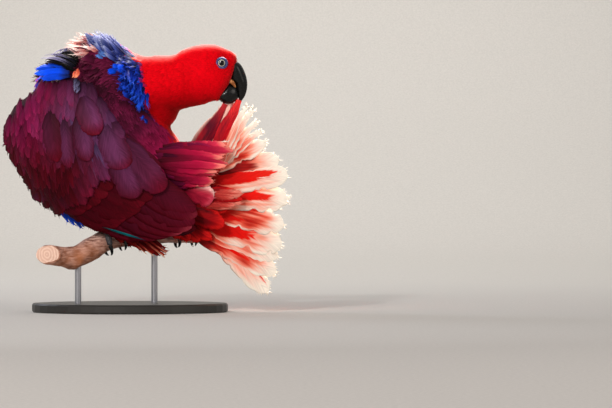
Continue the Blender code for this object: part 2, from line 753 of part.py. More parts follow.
def make_bill(parts, guides, cutter):
    """The hooked upper bill and the short lower bill, which the topmost tail feather passes between."""
    upper = tube("bill_upper", UPPER_BILL, parts, 3)
    lower = tube("bill_lower", LOWER_BILL, parts, 3)
    for piece in (upper, lower):
        boolean(piece, cutter, "DIFFERENCE")
    boolean(lower, swollen(upper, guides), "DIFFERENCE")
    for piece in (upper, lower):
        boolean(parts.objects["tail"], swollen(piece, guides), "DIFFERENCE", solver="MANIFOLD")


def make_eyes(parts, guides, whole):
    """Both eyes, set in sockets cut in the head."""
    for side, way in (("right", -1), ("left", 1)):
        start = Vector((EYE_X, way * 60, EYE_Z)) * MM
        _, place, normal, _ = whole.ray_cast(start, Vector((0, -way, 0)))
        centre = np.array(place) / MM - np.array(normal) * (EYE_RADIUS - EYE_PROUD)
        ball(f"eye_{side}", centre, (EYE_RADIUS,) * 3, parts, 12, 8)
        socket = ball(f"socket_{side}", centre, (EYE_RADIUS + GAP,) * 3, guides, 12, 8)
        boolean(parts.objects["head"], socket, "DIFFERENCE")


def make_stand(parts, guides):
    """A flat oval base and two short rods up to the perch."""
    made = bmesh.new()
    bmesh.ops.create_cone(made, cap_ends=True, segments=40, radius1=1, radius2=1, depth=1)
    size = Matrix.Diagonal((BASE_HALF[0] * MM, BASE_HALF[1] * MM, BASE_HEIGHT * MM, 1))
    place = Matrix.Translation((0, 0, BASE_HEIGHT * MM / 2)) @ size
    bmesh.ops.transform(made, matrix=place, verts=made.verts)
    base = linked("stand_base", made, parts)
    edge = base.modifiers.new("edge", "BEVEL")
    edge.width = BASE_EDGE * MM
    edge.segments = 1
    edge.limit_method = "ANGLE"
    perch = swollen(parts.objects["perch"], guides)
    for number, x in enumerate(ROD_X, 1):
        centre, radius, _ = perch_at(x)
        low, high = BASE_HEIGHT + GAP, centre[2] - radius * 0.4
        made = bmesh.new()
        bmesh.ops.create_cone(
            made, cap_ends=True, segments=16, radius1=ROD_RADIUS * MM, radius2=ROD_RADIUS * MM,
            depth=(high - low) * MM, matrix=Matrix.Translation(Vector((x, centre[1], (low + high) / 2)) * MM),
        )
        rod = linked(f"stand_rod_{number}", made, parts)
        boolean(rod, perch, "DIFFERENCE")


def finish(parts):
    """Gives each node its own material and smooth shading."""
    for thing in parts.objects:
        found = [look for start, look in FINISHES.items() if thing.name.startswith(start)]
        colour, roughness, metallic = found[0] if found else WINE
        made = bpy.data.materials.new(thing.name)
        made.use_nodes = True
        shader = made.node_tree.nodes["Principled BSDF"]
        shader.inputs["Base Color"].default_value = (*colour, 1)
        shader.inputs["Roughness"].default_value = roughness
        shader.inputs["Metallic"].default_value = metallic
        thing.data.materials.clear()
        thing.data.materials.append(made)
        thing.data.shade_smooth()
        thing.data.set_sharp_from_angle(angle=math.radians(35))


def main():
    """Builds the bird, its perch and its stand."""
    clear_scene()
    parts = collection("eclectus_parrot")
    guides = collection("cutters", hidden=True)
    whole = make_body(parts, guides)
    whole.hide_render = True
    dress_torso(whole, parts.objects["torso"])
    dress_rump(parts.objects["rump"])
    cutter = swollen(whole, guides)
    make_wing("left", LEFT_WING, parts, cutter)
    make_wing("right", RIGHT_WING, parts, cutter)
    make_tail(parts, cutter)
    tube("perch", PERCH, parts, 3)
    for side in LEGS:
        make_leg(side, parts, guides, cutter)
    make_bill(parts, guides, cutter)
    make_eyes(parts, guides, whole)
    make_stand(parts, guides)
    for thing in list(guides.objects):
        bpy.data.objects.remove(thing)
    finish(parts)


main()
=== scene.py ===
"""The looks of a hen eclectus parrot that preens its fanned tail on a short perch and a display stand.

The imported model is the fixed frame. A skin replaces its flesh, and every feather is a closed vane on it:
small ones are spread by Geometry Nodes, and long ones are drawn one by one on the wings' curved sheets,
over the tail and in the ruff. Sizes are in millimetres until a mesh is made, in metres. The left wing
is the one nearest the camera, which looks along +Y.
"""

import sys
import logging
import math
from collections.abc import Callable, Sequence
from dataclasses import dataclass, field
from enum import Enum

import bmesh
import bpy
import numpy as np
from mathutils import Matrix, Vector
from mathutils.bvhtree import BVHTree


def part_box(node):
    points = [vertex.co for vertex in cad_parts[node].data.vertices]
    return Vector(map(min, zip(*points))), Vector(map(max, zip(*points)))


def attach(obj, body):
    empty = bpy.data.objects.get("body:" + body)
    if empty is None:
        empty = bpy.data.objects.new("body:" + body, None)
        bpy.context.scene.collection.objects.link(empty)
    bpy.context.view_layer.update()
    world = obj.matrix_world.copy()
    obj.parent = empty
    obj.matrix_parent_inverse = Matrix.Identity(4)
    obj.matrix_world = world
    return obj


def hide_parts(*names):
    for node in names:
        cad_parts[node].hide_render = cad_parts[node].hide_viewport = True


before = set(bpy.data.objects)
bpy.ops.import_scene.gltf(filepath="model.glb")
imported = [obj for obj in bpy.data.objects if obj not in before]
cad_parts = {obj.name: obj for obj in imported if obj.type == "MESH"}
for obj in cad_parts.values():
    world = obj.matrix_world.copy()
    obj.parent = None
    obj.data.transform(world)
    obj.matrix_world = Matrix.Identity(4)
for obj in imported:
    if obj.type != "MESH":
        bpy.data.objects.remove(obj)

LOG = logging.getLogger("eclectus")
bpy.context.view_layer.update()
MM = 0.001
BODY = "root"
Row = Sequence[float]
Paint = Callable[[np.ndarray, np.ndarray, float], np.ndarray]


# Small maths


def unit(v: Row) -> np.ndarray:
    """Returns a vector, or each row of an array, at length one."""
    v = np.asarray(v, float)
    return v / np.maximum(np.linalg.norm(v, axis=-1, keepdims=True), 1e-9)


def toward(v: Row, way: Row) -> np.ndarray:
    """Returns the unit vector v, turned to the same side as way."""
    v = unit(v)
    return v * np.where((v * np.asarray(way, float)).sum(-1, keepdims=True) < 0, -1.0, 1.0)


def mix(a: Row | float, b: Row | float, share: float | np.ndarray) -> np.ndarray:
    """Returns the value part way from a to b."""
    return np.asarray(a, float) * (1 - share) + np.asarray(b, float) * share


def ease(low: float, high: float, value: np.ndarray | float) -> np.ndarray:
    """Returns 0 below low, 1 above high and a smooth rise between."""
    share = np.clip((np.asarray(value, float) - low) / (high - low), 0, 1)
    return share * share * (3 - 2 * share)


def drawn(rows: Sequence[Row], steps: int) -> np.ndarray:
    """Draws rows of numbers out into a smooth curve.

    Args:
        rows: The numbers at each station, such as a point and a radius.
        steps: How many steps lie between two stations.

    Returns:
        One row for each step, the last station among them.
    """
    rows = np.asarray(rows, float)
    ends = np.vstack([2 * rows[0] - rows[1], rows, 2 * rows[-1] - rows[-2]])
    found = []
    for i in range(len(rows) - 1):
        a, b, c, d = ends[i : i + 4]
        for t in np.arange(steps) / steps:
            cubic = (3 * b - a - 3 * c + d) * t**3
            found.append(0.5 * (2 * b + (c - a) * t + (2 * a - 5 * b + 4 * c - d) * t**2 + cubic))
    return np.array(found + [rows[-1]])


def ripple(points: np.ndarray, span: float, seed: int) -> np.ndarray:
    """Returns a smooth wander between about -1 and 1 over points, with swells about span across."""
    draw = np.random.default_rng(seed)
    total = np.zeros(len(points))
    for _ in range(6):
        way = unit(draw.normal(size=points.shape[1])) * draw.uniform(0.6, 1.7) * 2 * math.pi / span
        total += np.sin(points @ way + draw.uniform(0, 2 * math.pi))
    return total / 3.2


def linear(colour: str) -> np.ndarray:
    """Turns an sRGB hex colour into linear light.

    Args:
        colour: Six hex digits after a #.

    Returns:
        Red, green and blue.
    """
    srgb = np.array([int(colour[k : k + 2], 16) / 255 for k in (1, 3, 5)])
    return np.where(srgb <= 0.04045, srgb / 12.92, ((srgb + 0.055) / 1.055) ** 2.4)


def ramp(stops: Sequence[tuple[float, str]], at: np.ndarray) -> np.ndarray:
    """Returns the colours of a gradient.

    Args:
        stops: Places from 0 to 1, each with its hex colour, in order.
        at: Where on the gradient each colour is wanted.

    Returns:
        One row of red, green and blue for each place.
    """
    places = [stop[0] for stop in stops]
    colours = np.array([linear(stop[1]) for stop in stops])
    return np.stack([np.interp(at, places, colours[:, k]) for k in range(3)], axis=-1)


# Finishes


def add(tree: bpy.types.NodeTree, kind: str, sets: dict | None = None, links: dict | None = None):
    """Adds one node to a tree.

    Args:
        tree: The material's or the geometry's node tree.
        kind: The node's type name.
        sets: Its properties by name, and its sockets' constant values by name or number.
        links: The outputs that feed its sockets, by name or number.

    Returns:
        The node.
    """
    node = tree.nodes.new(kind)
    for name, value in (sets or {}).items():
        if isinstance(name, str) and hasattr(node, name):
            setattr(node, name, value)
        else:
            node.inputs[name].default_value = value
    for name, output in (links or {}).items():
        tree.links.new(output, node.inputs[name])
    return node


def blank(name: str) -> tuple[bpy.types.Material, bpy.types.NodeTree, bpy.types.Node]:
    """Returns a new material, its tree and its principled shader."""
    made = bpy.data.materials.new(name)
    made.use_nodes = True
    return made, made.node_tree, made.node_tree.nodes["Principled BSDF"]


def gain(tree: bpy.types.NodeTree, value: bpy.types.NodeSocket, low: float, high: float):
    """Returns an output that maps 0 to 1 onto low to high."""
    return add(tree, "ShaderNodeMapRange", {3: low, 4: high}, {0: value}).outputs[0]


def colour_ramp(tree: bpy.types.NodeTree, stops: Sequence[tuple[float, str]], value: bpy.types.NodeSocket):
    """Returns the output of a gradient of hex colours over a value from 0 to 1."""
    node = add(tree, "ShaderNodeValToRGB", links={0: value})
    elements = node.color_ramp.elements
    while len(elements) < len(stops):
        elements.new(0.5)
    for element, (at, colour) in zip(elements, stops):
        element.position = at
        element.color = (*linear(colour), 1)
    return node.outputs[0]


@dataclass(frozen=True)
class Plumage:
    """Feather keratin, dry and barbed: matt to silky, streaked along each barb, with a soft edge glow.

    The tint attribute holds the colour, and the barb attribute the place on the feather in millimetres.
    Where the tint's alpha is high, the vein's colours show, ragged along the barbs at their edge.
    """

    name: str
    roughness: float = 0.5
    sheen: float = 0.25
    sheen_tint: str = "#FFD8D0"
    streak: float = 0.35
    barb: float = 0.55
    relief: float = 0.00006
    specular: float = 0.35
    vein: tuple[tuple[float, str], ...] = ()
    slope: float = 1.15

    def make(self) -> bpy.types.Material:
        """Returns the material."""
        made, tree, shader = blank(self.name)
        tint = add(tree, "ShaderNodeAttribute", {"attribute_name": "tint"})
        barb = add(tree, "ShaderNodeAttribute", {"attribute_name": "barb"})
        parts = add(tree, "ShaderNodeSeparateXYZ", links={0: barb.outputs["Vector"]})
        side = add(tree, "ShaderNodeMath", {"operation": "ABSOLUTE"}, {0: parts.outputs[0]})
        slant = add(
            tree,
            "ShaderNodeMath",
            {"operation": "MULTIPLY_ADD", 1: -self.slope},
            {0: side.outputs[0], 2: parts.outputs[1]},
        )
        along = add(tree, "ShaderNodeMath", {"operation": "MULTIPLY", 1: 1 / self.barb}, {0: slant.outputs[0]})
        across = add(tree, "ShaderNodeMath", {"operation": "MULTIPLY", 1: 0.12}, {0: parts.outputs[0]})
        place = add(
            tree,
            "ShaderNodeCombineXYZ",
            links={0: along.outputs[0], 1: across.outputs[0], 2: parts.outputs[2]},
        )
        noise = add(tree, "ShaderNodeTexNoise", {"Scale": 1.0, "Detail": 2.0}, {"Vector": place.outputs[0]})
        shade = gain(tree, noise.outputs[0], 1 - self.streak, 1 + self.streak)
        worn = tint.outputs["Color"]
        if self.vein:
            length = add(tree, "ShaderNodeMath", {"operation": "MULTIPLY", 1: 1 / 120}, {0: parts.outputs[1]})
            ragged = gain(tree, noise.outputs[0], -0.55, 0.55)
            edge = add(tree, "ShaderNodeMath", {"operation": "ADD"}, {0: tint.outputs["Alpha"], 1: ragged})
            share = add(tree, "ShaderNodeMapRange", {1: 0.34, 2: 0.66}, {0: edge.outputs[0]})
            worn = add(
                tree,
                "ShaderNodeMix",
                {"data_type": "RGBA"},
                {0: share.outputs[0], 6: worn, 7: colour_ramp(tree, self.vein, length.outputs[0])},
            ).outputs[2]
        colour = add(tree, "ShaderNodeVectorMath", {"operation": "SCALE"}, {0: worn, "Scale": shade})
        bump = add(
            tree, "ShaderNodeBump", {"Strength": 0.6, "Distance": self.relief}, {"Height": noise.outputs[0]}
        )
        tree.links.new(colour.outputs[0], shader.inputs["Base Color"])
        tree.links.new(bump.outputs[0], shader.inputs["Normal"])
        shader.inputs["Roughness"].default_value = self.roughness
        shader.inputs["Specular IOR Level"].default_value = self.specular
        shader.inputs["Sheen Weight"].default_value = self.sheen
        shader.inputs["Sheen Roughness"].default_value = 0.35
        shader.inputs["Sheen Tint"].default_value = (*linear(self.sheen_tint), 1)
        return made


@dataclass(frozen=True)
class Keratin:
    """Horn of bill and claws: grown in thin layers, polished by use, so it shines in long soft lights."""

    name: str
    dark: str
    light: str
    roughness: float = 0.16
    layer: float = 1.1
    specular: float = 0.3

    def make(self) -> bpy.types.Material:
        """Returns the material."""
        made, tree, shader = blank(self.name)
        place = add(tree, "ShaderNodeTexCoord")
        scaled = add(
            tree,
            "ShaderNodeMapping",
            {"Scale": (0.35, 0.35, 1.0)},
            {"Vector": place.outputs["Object"]},
        )
        noise = add(
            tree,
            "ShaderNodeTexNoise",
            {"Scale": 1 / (self.layer * MM), "Detail": 3.0},
            {"Vector": scaled.outputs[0]},
        )
        broad = add(
            tree,
            "ShaderNodeTexNoise",
            {"Scale": 160.0, "Detail": 2.0},
            {"Vector": place.outputs["Object"]},
        )
        colour = add(
            tree,
            "ShaderNodeMix",
            {"data_type": "RGBA", 6: (*linear(self.dark), 1), 7: (*linear(self.light), 1)},
            {0: gain(tree, broad.outputs[0], -0.5, 1.3)},
        )
        bump = add(tree, "ShaderNodeBump", {"Strength": 0.35, "Distance": 0.00012}, {"Height": noise.outputs[0]})
        tree.links.new(colour.outputs[2], shader.inputs["Base Color"])
        tree.links.new(bump.outputs[0], shader.inputs["Normal"])
        tree.links.new(gain(tree, noise.outputs[0], self.roughness, self.roughness + 0.2), shader.inputs["Roughness"])
        shader.inputs["Specular IOR Level"].default_value = self.specular
        return made


@dataclass(frozen=True)
class ScaledSkin:
    """Dry horny skin in small plates, as on a parrot's feet, or in fine grains, as round its eye."""

    name: str
    dark: str
    light: str
    plate: float
    roughness: float = 0.55

    def make(self) -> bpy.types.Material:
        """Returns the material."""
        made, tree, shader = blank(self.name)
        place = add(tree, "ShaderNodeTexCoord")
        cells = add(
            tree,
            "ShaderNodeTexVoronoi",
            {"feature": "DISTANCE_TO_EDGE", "Scale": 1 / (self.plate * MM)},
            {"Vector": place.outputs["Object"]},
        )
        edge = add(tree, "ShaderNodeMapRange", {2: 0.25}, {0: cells.outputs["Distance"]})
        broad = add(tree, "ShaderNodeTexNoise", {"Scale": 300.0}, {"Vector": place.outputs["Object"]})
        blend = add(tree, "ShaderNodeMath", {"operation": "MULTIPLY"}, {0: edge.outputs[0], 1: broad.outputs[0]})
        colour = add(
            tree,
            "ShaderNodeMix",
            {"data_type": "RGBA", 6: (*linear(self.dark), 1), 7: (*linear(self.light), 1)},
            {0: gain(tree, blend.outputs[0], 0.0, 1.7)},
        )
        bump = add(tree, "ShaderNodeBump", {"Strength": 0.8, "Distance": 0.0002}, {"Height": edge.outputs[0]})
        tree.links.new(colour.outputs[2], shader.inputs["Base Color"])
        tree.links.new(bump.outputs[0], shader.inputs["Normal"])
        shader.inputs["Roughness"].default_value = self.roughness
        return made


@dataclass(frozen=True)
class Cornea:
    """A wet eye: a black pupil in a pale ring with a dark rim, under a clear wet coat that mirrors the lamps.

    The eye attribute holds each point's distance from the line of sight, in millimetres.
    """

    name: str = "wet_cornea"
    pupil: float = 2.85
    iris: float = 3.3

    def make(self) -> bpy.types.Material:
        """Returns the material."""
        made, tree, shader = blank(self.name)
        eye = add(tree, "ShaderNodeAttribute", {"attribute_name": "eye"})
        out = add(tree, "ShaderNodeMath", {"operation": "DIVIDE", 1: 6.2}, {0: eye.outputs["Fac"]})
        stops = (
            (0.0, "#020202"),
            (self.pupil / 6.2, "#030302"),
            ((self.pupil + 0.1) / 6.2, "#D8CCA8"),
            ((self.iris - 0.16) / 6.2, "#FFFCF2"),
            ((self.iris + 0.1) / 6.2, "#1C1612"),
            (0.64, "#060504"),
        )
        tree.links.new(colour_ramp(tree, stops, out.outputs[0]), shader.inputs["Base Color"])
        shader.inputs["Roughness"].default_value = 0.06
        shader.inputs["Specular IOR Level"].default_value = 0.16
        shader.inputs["Coat Weight"].default_value = 0.3
        shader.inputs["Coat Roughness"].default_value = 0.02
        return made


@dataclass(frozen=True)
class Bark:
    """A weathered hardwood branch, worn smooth by feet: rosy tan bark with grey streaks along the grain."""

    name: str
    dark: str
    light: str
    patch: str
    grain: float = 1.7

    def make(self) -> bpy.types.Material:
        """Returns the material."""
        made, tree, shader = blank(self.name)
        place = add(tree, "ShaderNodeTexCoord")
        along = add(
            tree,
            "ShaderNodeMapping",
            {"Scale": (0.22, 0.22, 1.0), "Rotation": (0, 0, math.radians(-25))},
            {"Vector": place.outputs["Object"]},
        )
        fibre = add(
            tree,
            "ShaderNodeTexNoise",
            {"Scale": 1 / (self.grain * MM), "Detail": 5.0, "Roughness": 0.6},
            {"Vector": along.outputs[0]},
        )
        broad = add(
            tree,
            "ShaderNodeTexNoise",
            {"Scale": 55.0, "Detail": 3.0, "Distortion": 0.8},
            {"Vector": place.outputs["Object"]},
        )
        base = add(
            tree,
            "ShaderNodeMix",
            {"data_type": "RGBA", 6: (*linear(self.dark), 1), 7: (*linear(self.light), 1)},
            {0: gain(tree, fibre.outputs[0], -1.0, 2.0)},
        )
        height = add(tree, "ShaderNodeSeparateXYZ", links={0: place.outputs["Object"]})
        low = add(tree, "ShaderNodeMapRange", {1: 0.078, 2: 0.055}, {0: height.outputs[2]})
        wander = add(tree, "ShaderNodeMath", {"operation": "MULTIPLY"}, {0: broad.outputs[0], 1: low.outputs[0]})
        colour = add(
            tree,
            "ShaderNodeMix",
            {"data_type": "RGBA", 7: (*linear(self.patch), 1)},
            {0: gain(tree, wander.outputs[0], -0.1, 1.5), 6: base.outputs[2]},
        )
        bump = add(tree, "ShaderNodeBump", {"Strength": 0.8, "Distance": 0.0011}, {"Height": fibre.outputs[0]})
        tree.links.new(colour.outputs[2], shader.inputs["Base Color"])
        tree.links.new(bump.outputs[0], shader.inputs["Normal"])
        shader.inputs["Roughness"].default_value = 0.55
        return made


@dataclass(frozen=True)
class SawnWood:
    """The branch's sawn end: pale peach end grain with fine growth rings round the pith."""

    name: str = "sawn_end_grain"
    dark: str = "#C88C70"
    light: str = "#F2CDB8"
    centre: tuple[float, float, float] = (-0.079, -0.044, 0.058)

    def make(self) -> bpy.types.Material:
        """Returns the material."""
        made, tree, shader = blank(self.name)
        place = add(tree, "ShaderNodeTexCoord")
        moved = add(
            tree,
            "ShaderNodeVectorMath",
            {"operation": "SUBTRACT", 1: self.centre},
            {0: place.outputs["Object"]},
        )
        wave = add(
            tree,
            "ShaderNodeTexWave",
            {"wave_type": "RINGS", "rings_direction": "SPHERICAL", "Scale": 95.0, "Distortion": 4.5, "Detail": 3.0},
            {"Vector": moved.outputs[0]},
        )
        colour = add(
            tree,
            "ShaderNodeMix",
            {"data_type": "RGBA", 6: (*linear(self.light), 1), 7: (*linear(self.dark), 1)},
            {0: gain(tree, wave.outputs["Fac"], 0.0, 0.5)},
        )
        bump = add(tree, "ShaderNodeBump", {"Strength": 0.4, "Distance": 0.0003}, {"Height": wave.outputs["Fac"]})
        tree.links.new(colour.outputs[2], shader.inputs["Base Color"])
        tree.links.new(bump.outputs[0], shader.inputs["Normal"])
        shader.inputs["Roughness"].default_value = 0.75
        return made


@dataclass(frozen=True)
class Made:
    """A plain made surface: satin paint on board, brushed steel, or the studio's matt floor."""

    name: str
    colour: str
    roughness: float
    metallic: float = 0.0
    grain: float = 1.0
    relief: float = 0.00005

    def make(self) -> bpy.types.Material:
        """Returns the material."""
        made, tree, shader = blank(self.name)
        place = add(tree, "ShaderNodeTexCoord")
        noise = add(
            tree,
            "ShaderNodeTexNoise",
            {"Scale": 1 / (self.grain * MM), "Detail": 4.0},
            {"Vector": place.outputs["Object"]},
        )
        shade = gain(tree, noise.outputs[0], 0.86, 1.14)
        colour = add(
            tree,
            "ShaderNodeVectorMath",
            {"operation": "SCALE", 0: tuple(linear(self.colour))},
            {"Scale": shade},
        )
        bump = add(tree, "ShaderNodeBump", {"Strength": 0.5, "Distance": self.relief}, {"Height": noise.outputs[0]})
        tree.links.new(colour.outputs[0], shader.inputs["Base Color"])
        tree.links.new(bump.outputs[0], shader.inputs["Normal"])
        tree.links.new(gain(tree, noise.outputs[0], self.roughness - 0.06, self.roughness + 0.1), shader.inputs["Roughness"])
        shader.inputs["Metallic"].default_value = self.metallic
        return made


# Meshes


def mesh_from(name: str, points: np.ndarray, faces: Sequence[Sequence[int]], smooth: bool = True) -> bpy.types.Object:
    """Makes an object at the origin.

    Args:
        name: The object's name.
        points: Its vertices, in millimetres.
        faces: Vertex numbers of each face.
        smooth: Whether it is shaded smooth.

    Returns:
        The object, linked to the scene.
    """
    mesh = bpy.data.meshes.new(name)
    mesh.from_pydata((np.asarray(points, float) * MM).tolist(), [], faces)
    mesh.validate()
    thing = bpy.data.objects.new(name, mesh)
    bpy.context.scene.collection.objects.link(thing)
    if smooth:
        mesh.shade_smooth()
    return thing


def tidied(thing: bpy.types.Object, merge: float = 0.01) -> bpy.types.Object:
    """Merges doubles within merge millimetres, turns faces out and shades smooth. Returns the object."""
    made = bmesh.new()
    made.from_mesh(thing.data)
    bmesh.ops.remove_doubles(made, verts=made.verts, dist=merge * MM)
    bmesh.ops.recalc_face_normals(made, faces=made.faces)
    made.to_mesh(thing.data)
    made.free()
    thing.data.shade_smooth()
    return thing


def baked(thing: bpy.types.Object) -> bpy.types.Object:
    """Turns an object's modifiers into plain mesh. Returns the object."""
    bpy.context.view_layer.update()
    graph = bpy.context.evaluated_depsgraph_get()
    mesh = bpy.data.meshes.new_from_object(thing.evaluated_get(graph))
    thing.modifiers.clear()
    old = thing.data
    thing.data = mesh
    bpy.data.meshes.remove(old)
    return thing


def loft(name: str, rings: np.ndarray) -> bpy.types.Object:
    """Makes a closed body through rings of points.

    Args:
        name: The object's name.
        rings: An array of rings, each of the same number of points, in millimetres.

    Returns:
        The object, with both ends closed by a fan.
    """
    count, sides = rings.shape[:2]
    points = np.vstack([rings.reshape(-1, 3), rings[0].mean(0), rings[-1].mean(0)])
    first, last = count * sides, count * sides + 1
    faces = []
    for k in range(sides):
        m = (k + 1) % sides
        faces.append((first, m, k))
        faces.append((last, (count - 1) * sides + k, (count - 1) * sides + m))
        for i in range(count - 1):
            a, b = i * sides, (i + 1) * sides
            faces.append((a + k, a + m, b + m, b + k))
    return tidied(mesh_from(name, points, faces))


def circle_rings(rows: np.ndarray, sides: int, swell: np.ndarray | None = None) -> np.ndarray:
    """Returns rings of a round tube along rows of point and radius, with swell as each ring's own profile."""
    centres, radii = rows[:, :3], rows[:, 3]
    ahead = unit(np.gradient(centres, axis=0))
    side = unit(np.cross(ahead, (0.13, 0.31, 0.94)))
    up = np.cross(side, ahead)
    angle = np.linspace(0, 2 * math.pi, sides, endpoint=False)
    shape = np.ones((len(rows), sides)) if swell is None else swell
    reach = radii[:, None, None] * shape[:, :, None]
    ring = side[:, None] * np.cos(angle)[None, :, None] + up[:, None] * np.sin(angle)[None, :, None]
    return centres[:, None] + ring * reach


def settle(thing: bpy.types.Object, finish: bpy.types.Material, slot: str, *nodes: str) -> bpy.types.Object:
    """Hands a finished piece to the frame.

    Args:
        thing: The piece, at the origin.
        finish: Its material.
        slot: The record's material slot; not used.
        nodes: The CAD nodes that it stands for.

    Returns:
        The piece.
    """
    if finish.name not in [m.name for m in thing.data.materials if m]:
        thing.data.materials.clear()
        thing.data.materials.append(finish)
    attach(thing, BODY)
    if nodes:
        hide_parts(*nodes)
    thing.data.calc_loop_triangles()
    LOG.info("%s: %d triangles", thing.name, len(thing.data.loop_triangles))
    return thing


def write_point_colour(mesh: bpy.types.Mesh, name: str, colours: np.ndarray) -> None:
    """Writes linear colours, with or without alpha, to a mesh's points under a name."""
    data = mesh.color_attributes.new(name, "FLOAT_COLOR", "POINT")
    full = np.ones((len(colours), 4), np.float32)
    full[:, : colours.shape[1]] = np.clip(colours, 0, 1)
    data.data.foreach_set("color", full.ravel())


def write_point_vector(mesh: bpy.types.Mesh, name: str, vectors: np.ndarray) -> None:
    """Writes vectors to a mesh's points under a name."""
    data = mesh.attributes.new(name, "FLOAT_VECTOR", "POINT")
    data.data.foreach_set("vector", np.asarray(vectors, np.float32).ravel())


def read_point(mesh: bpy.types.Mesh, name: str, width: int) -> np.ndarray:
    """Returns a point attribute as an array of rows of this width."""
    data = mesh.attributes[name].data
    found = np.zeros(len(data) * width, np.float32)
    data.foreach_get("vector" if width == 3 else "value", found)
    return found.reshape(-1, width).astype(float)


def write_bake_map(mesh: bpy.types.Mesh, roots: np.ndarray, places: np.ndarray) -> None:
    """Writes the OFBake map.

    Args:
        mesh: The coat piece.
        roots: For each point, its feather's root on an unwrap of the skin's own shape, from 0 to 1.
        places: For each point, its place on the feather: across from -1 to 1, and along from 0 to 1.
    """
    corner = np.zeros(len(mesh.loops), np.int32)
    mesh.loops.foreach_get("vertex_index", corner)
    spot = np.stack([places[:, 0] * 0.5 + 0.5, places[:, 1]], axis=1) * 0.003
    layer = mesh.uv_layers.new(name="OFBake")
    layer.uv.foreach_set("vector", (roots * 0.994 + spot)[corner].astype(np.float32).ravel())


class FeatherPile:
    """Long feathers gathered into one mesh, each a closed vane with its own barbs, colours and place."""

    def __init__(self) -> None:
        """Starts an empty pile."""
        self.points: list[np.ndarray] = []
        self.faces: list[np.ndarray] = []
        self.tints: list[np.ndarray] = []
        self.barbs: list[np.ndarray] = []
        self.places: list[np.ndarray] = []
        self.roots: list[np.ndarray] = []
        self.count = 0

    def put(self, points: np.ndarray, quads: np.ndarray, tint: np.ndarray, barb: np.ndarray, place: np.ndarray,
            root: Row) -> None:
        """Adds one closed form.

        Args:
            points: Its vertices, in millimetres.
            quads: Its faces, four vertex numbers each.
            tint: A linear colour for each vertex.
            barb: Each vertex's place on the feather in millimetres, and the feather's own number.
            place: Across from -1 to 1 and along from 0 to 1, for each vertex.
            root: The root's place on the unwrap, from 0 to 1.
        """
        self.points.append(points)
        self.faces.append(quads + self.count)
        self.tints.append(tint)
        self.barbs.append(barb)
        self.places.append(place)
        self.roots.append(np.tile(np.clip(np.asarray(root, float), 0, 1), (len(points), 1)))
        self.count += len(points)

    def made(self, name: str) -> bpy.types.Object:
        """Returns the pile as one object."""
        thing = mesh_from(name, np.vstack(self.points), np.vstack(self.faces).tolist())
        mesh = thing.data
        write_point_colour(mesh, "tint", np.vstack(self.tints))
        write_point_vector(mesh, "barb", np.vstack(self.barbs))
        write_bake_map(mesh, np.vstack(self.roots), np.vstack(self.places))
        return thing


class Tip(Enum):
    """How a long feather ends."""

    ROUND = "round"
    BLUNT = "blunt"
    LOOSE = "loose"


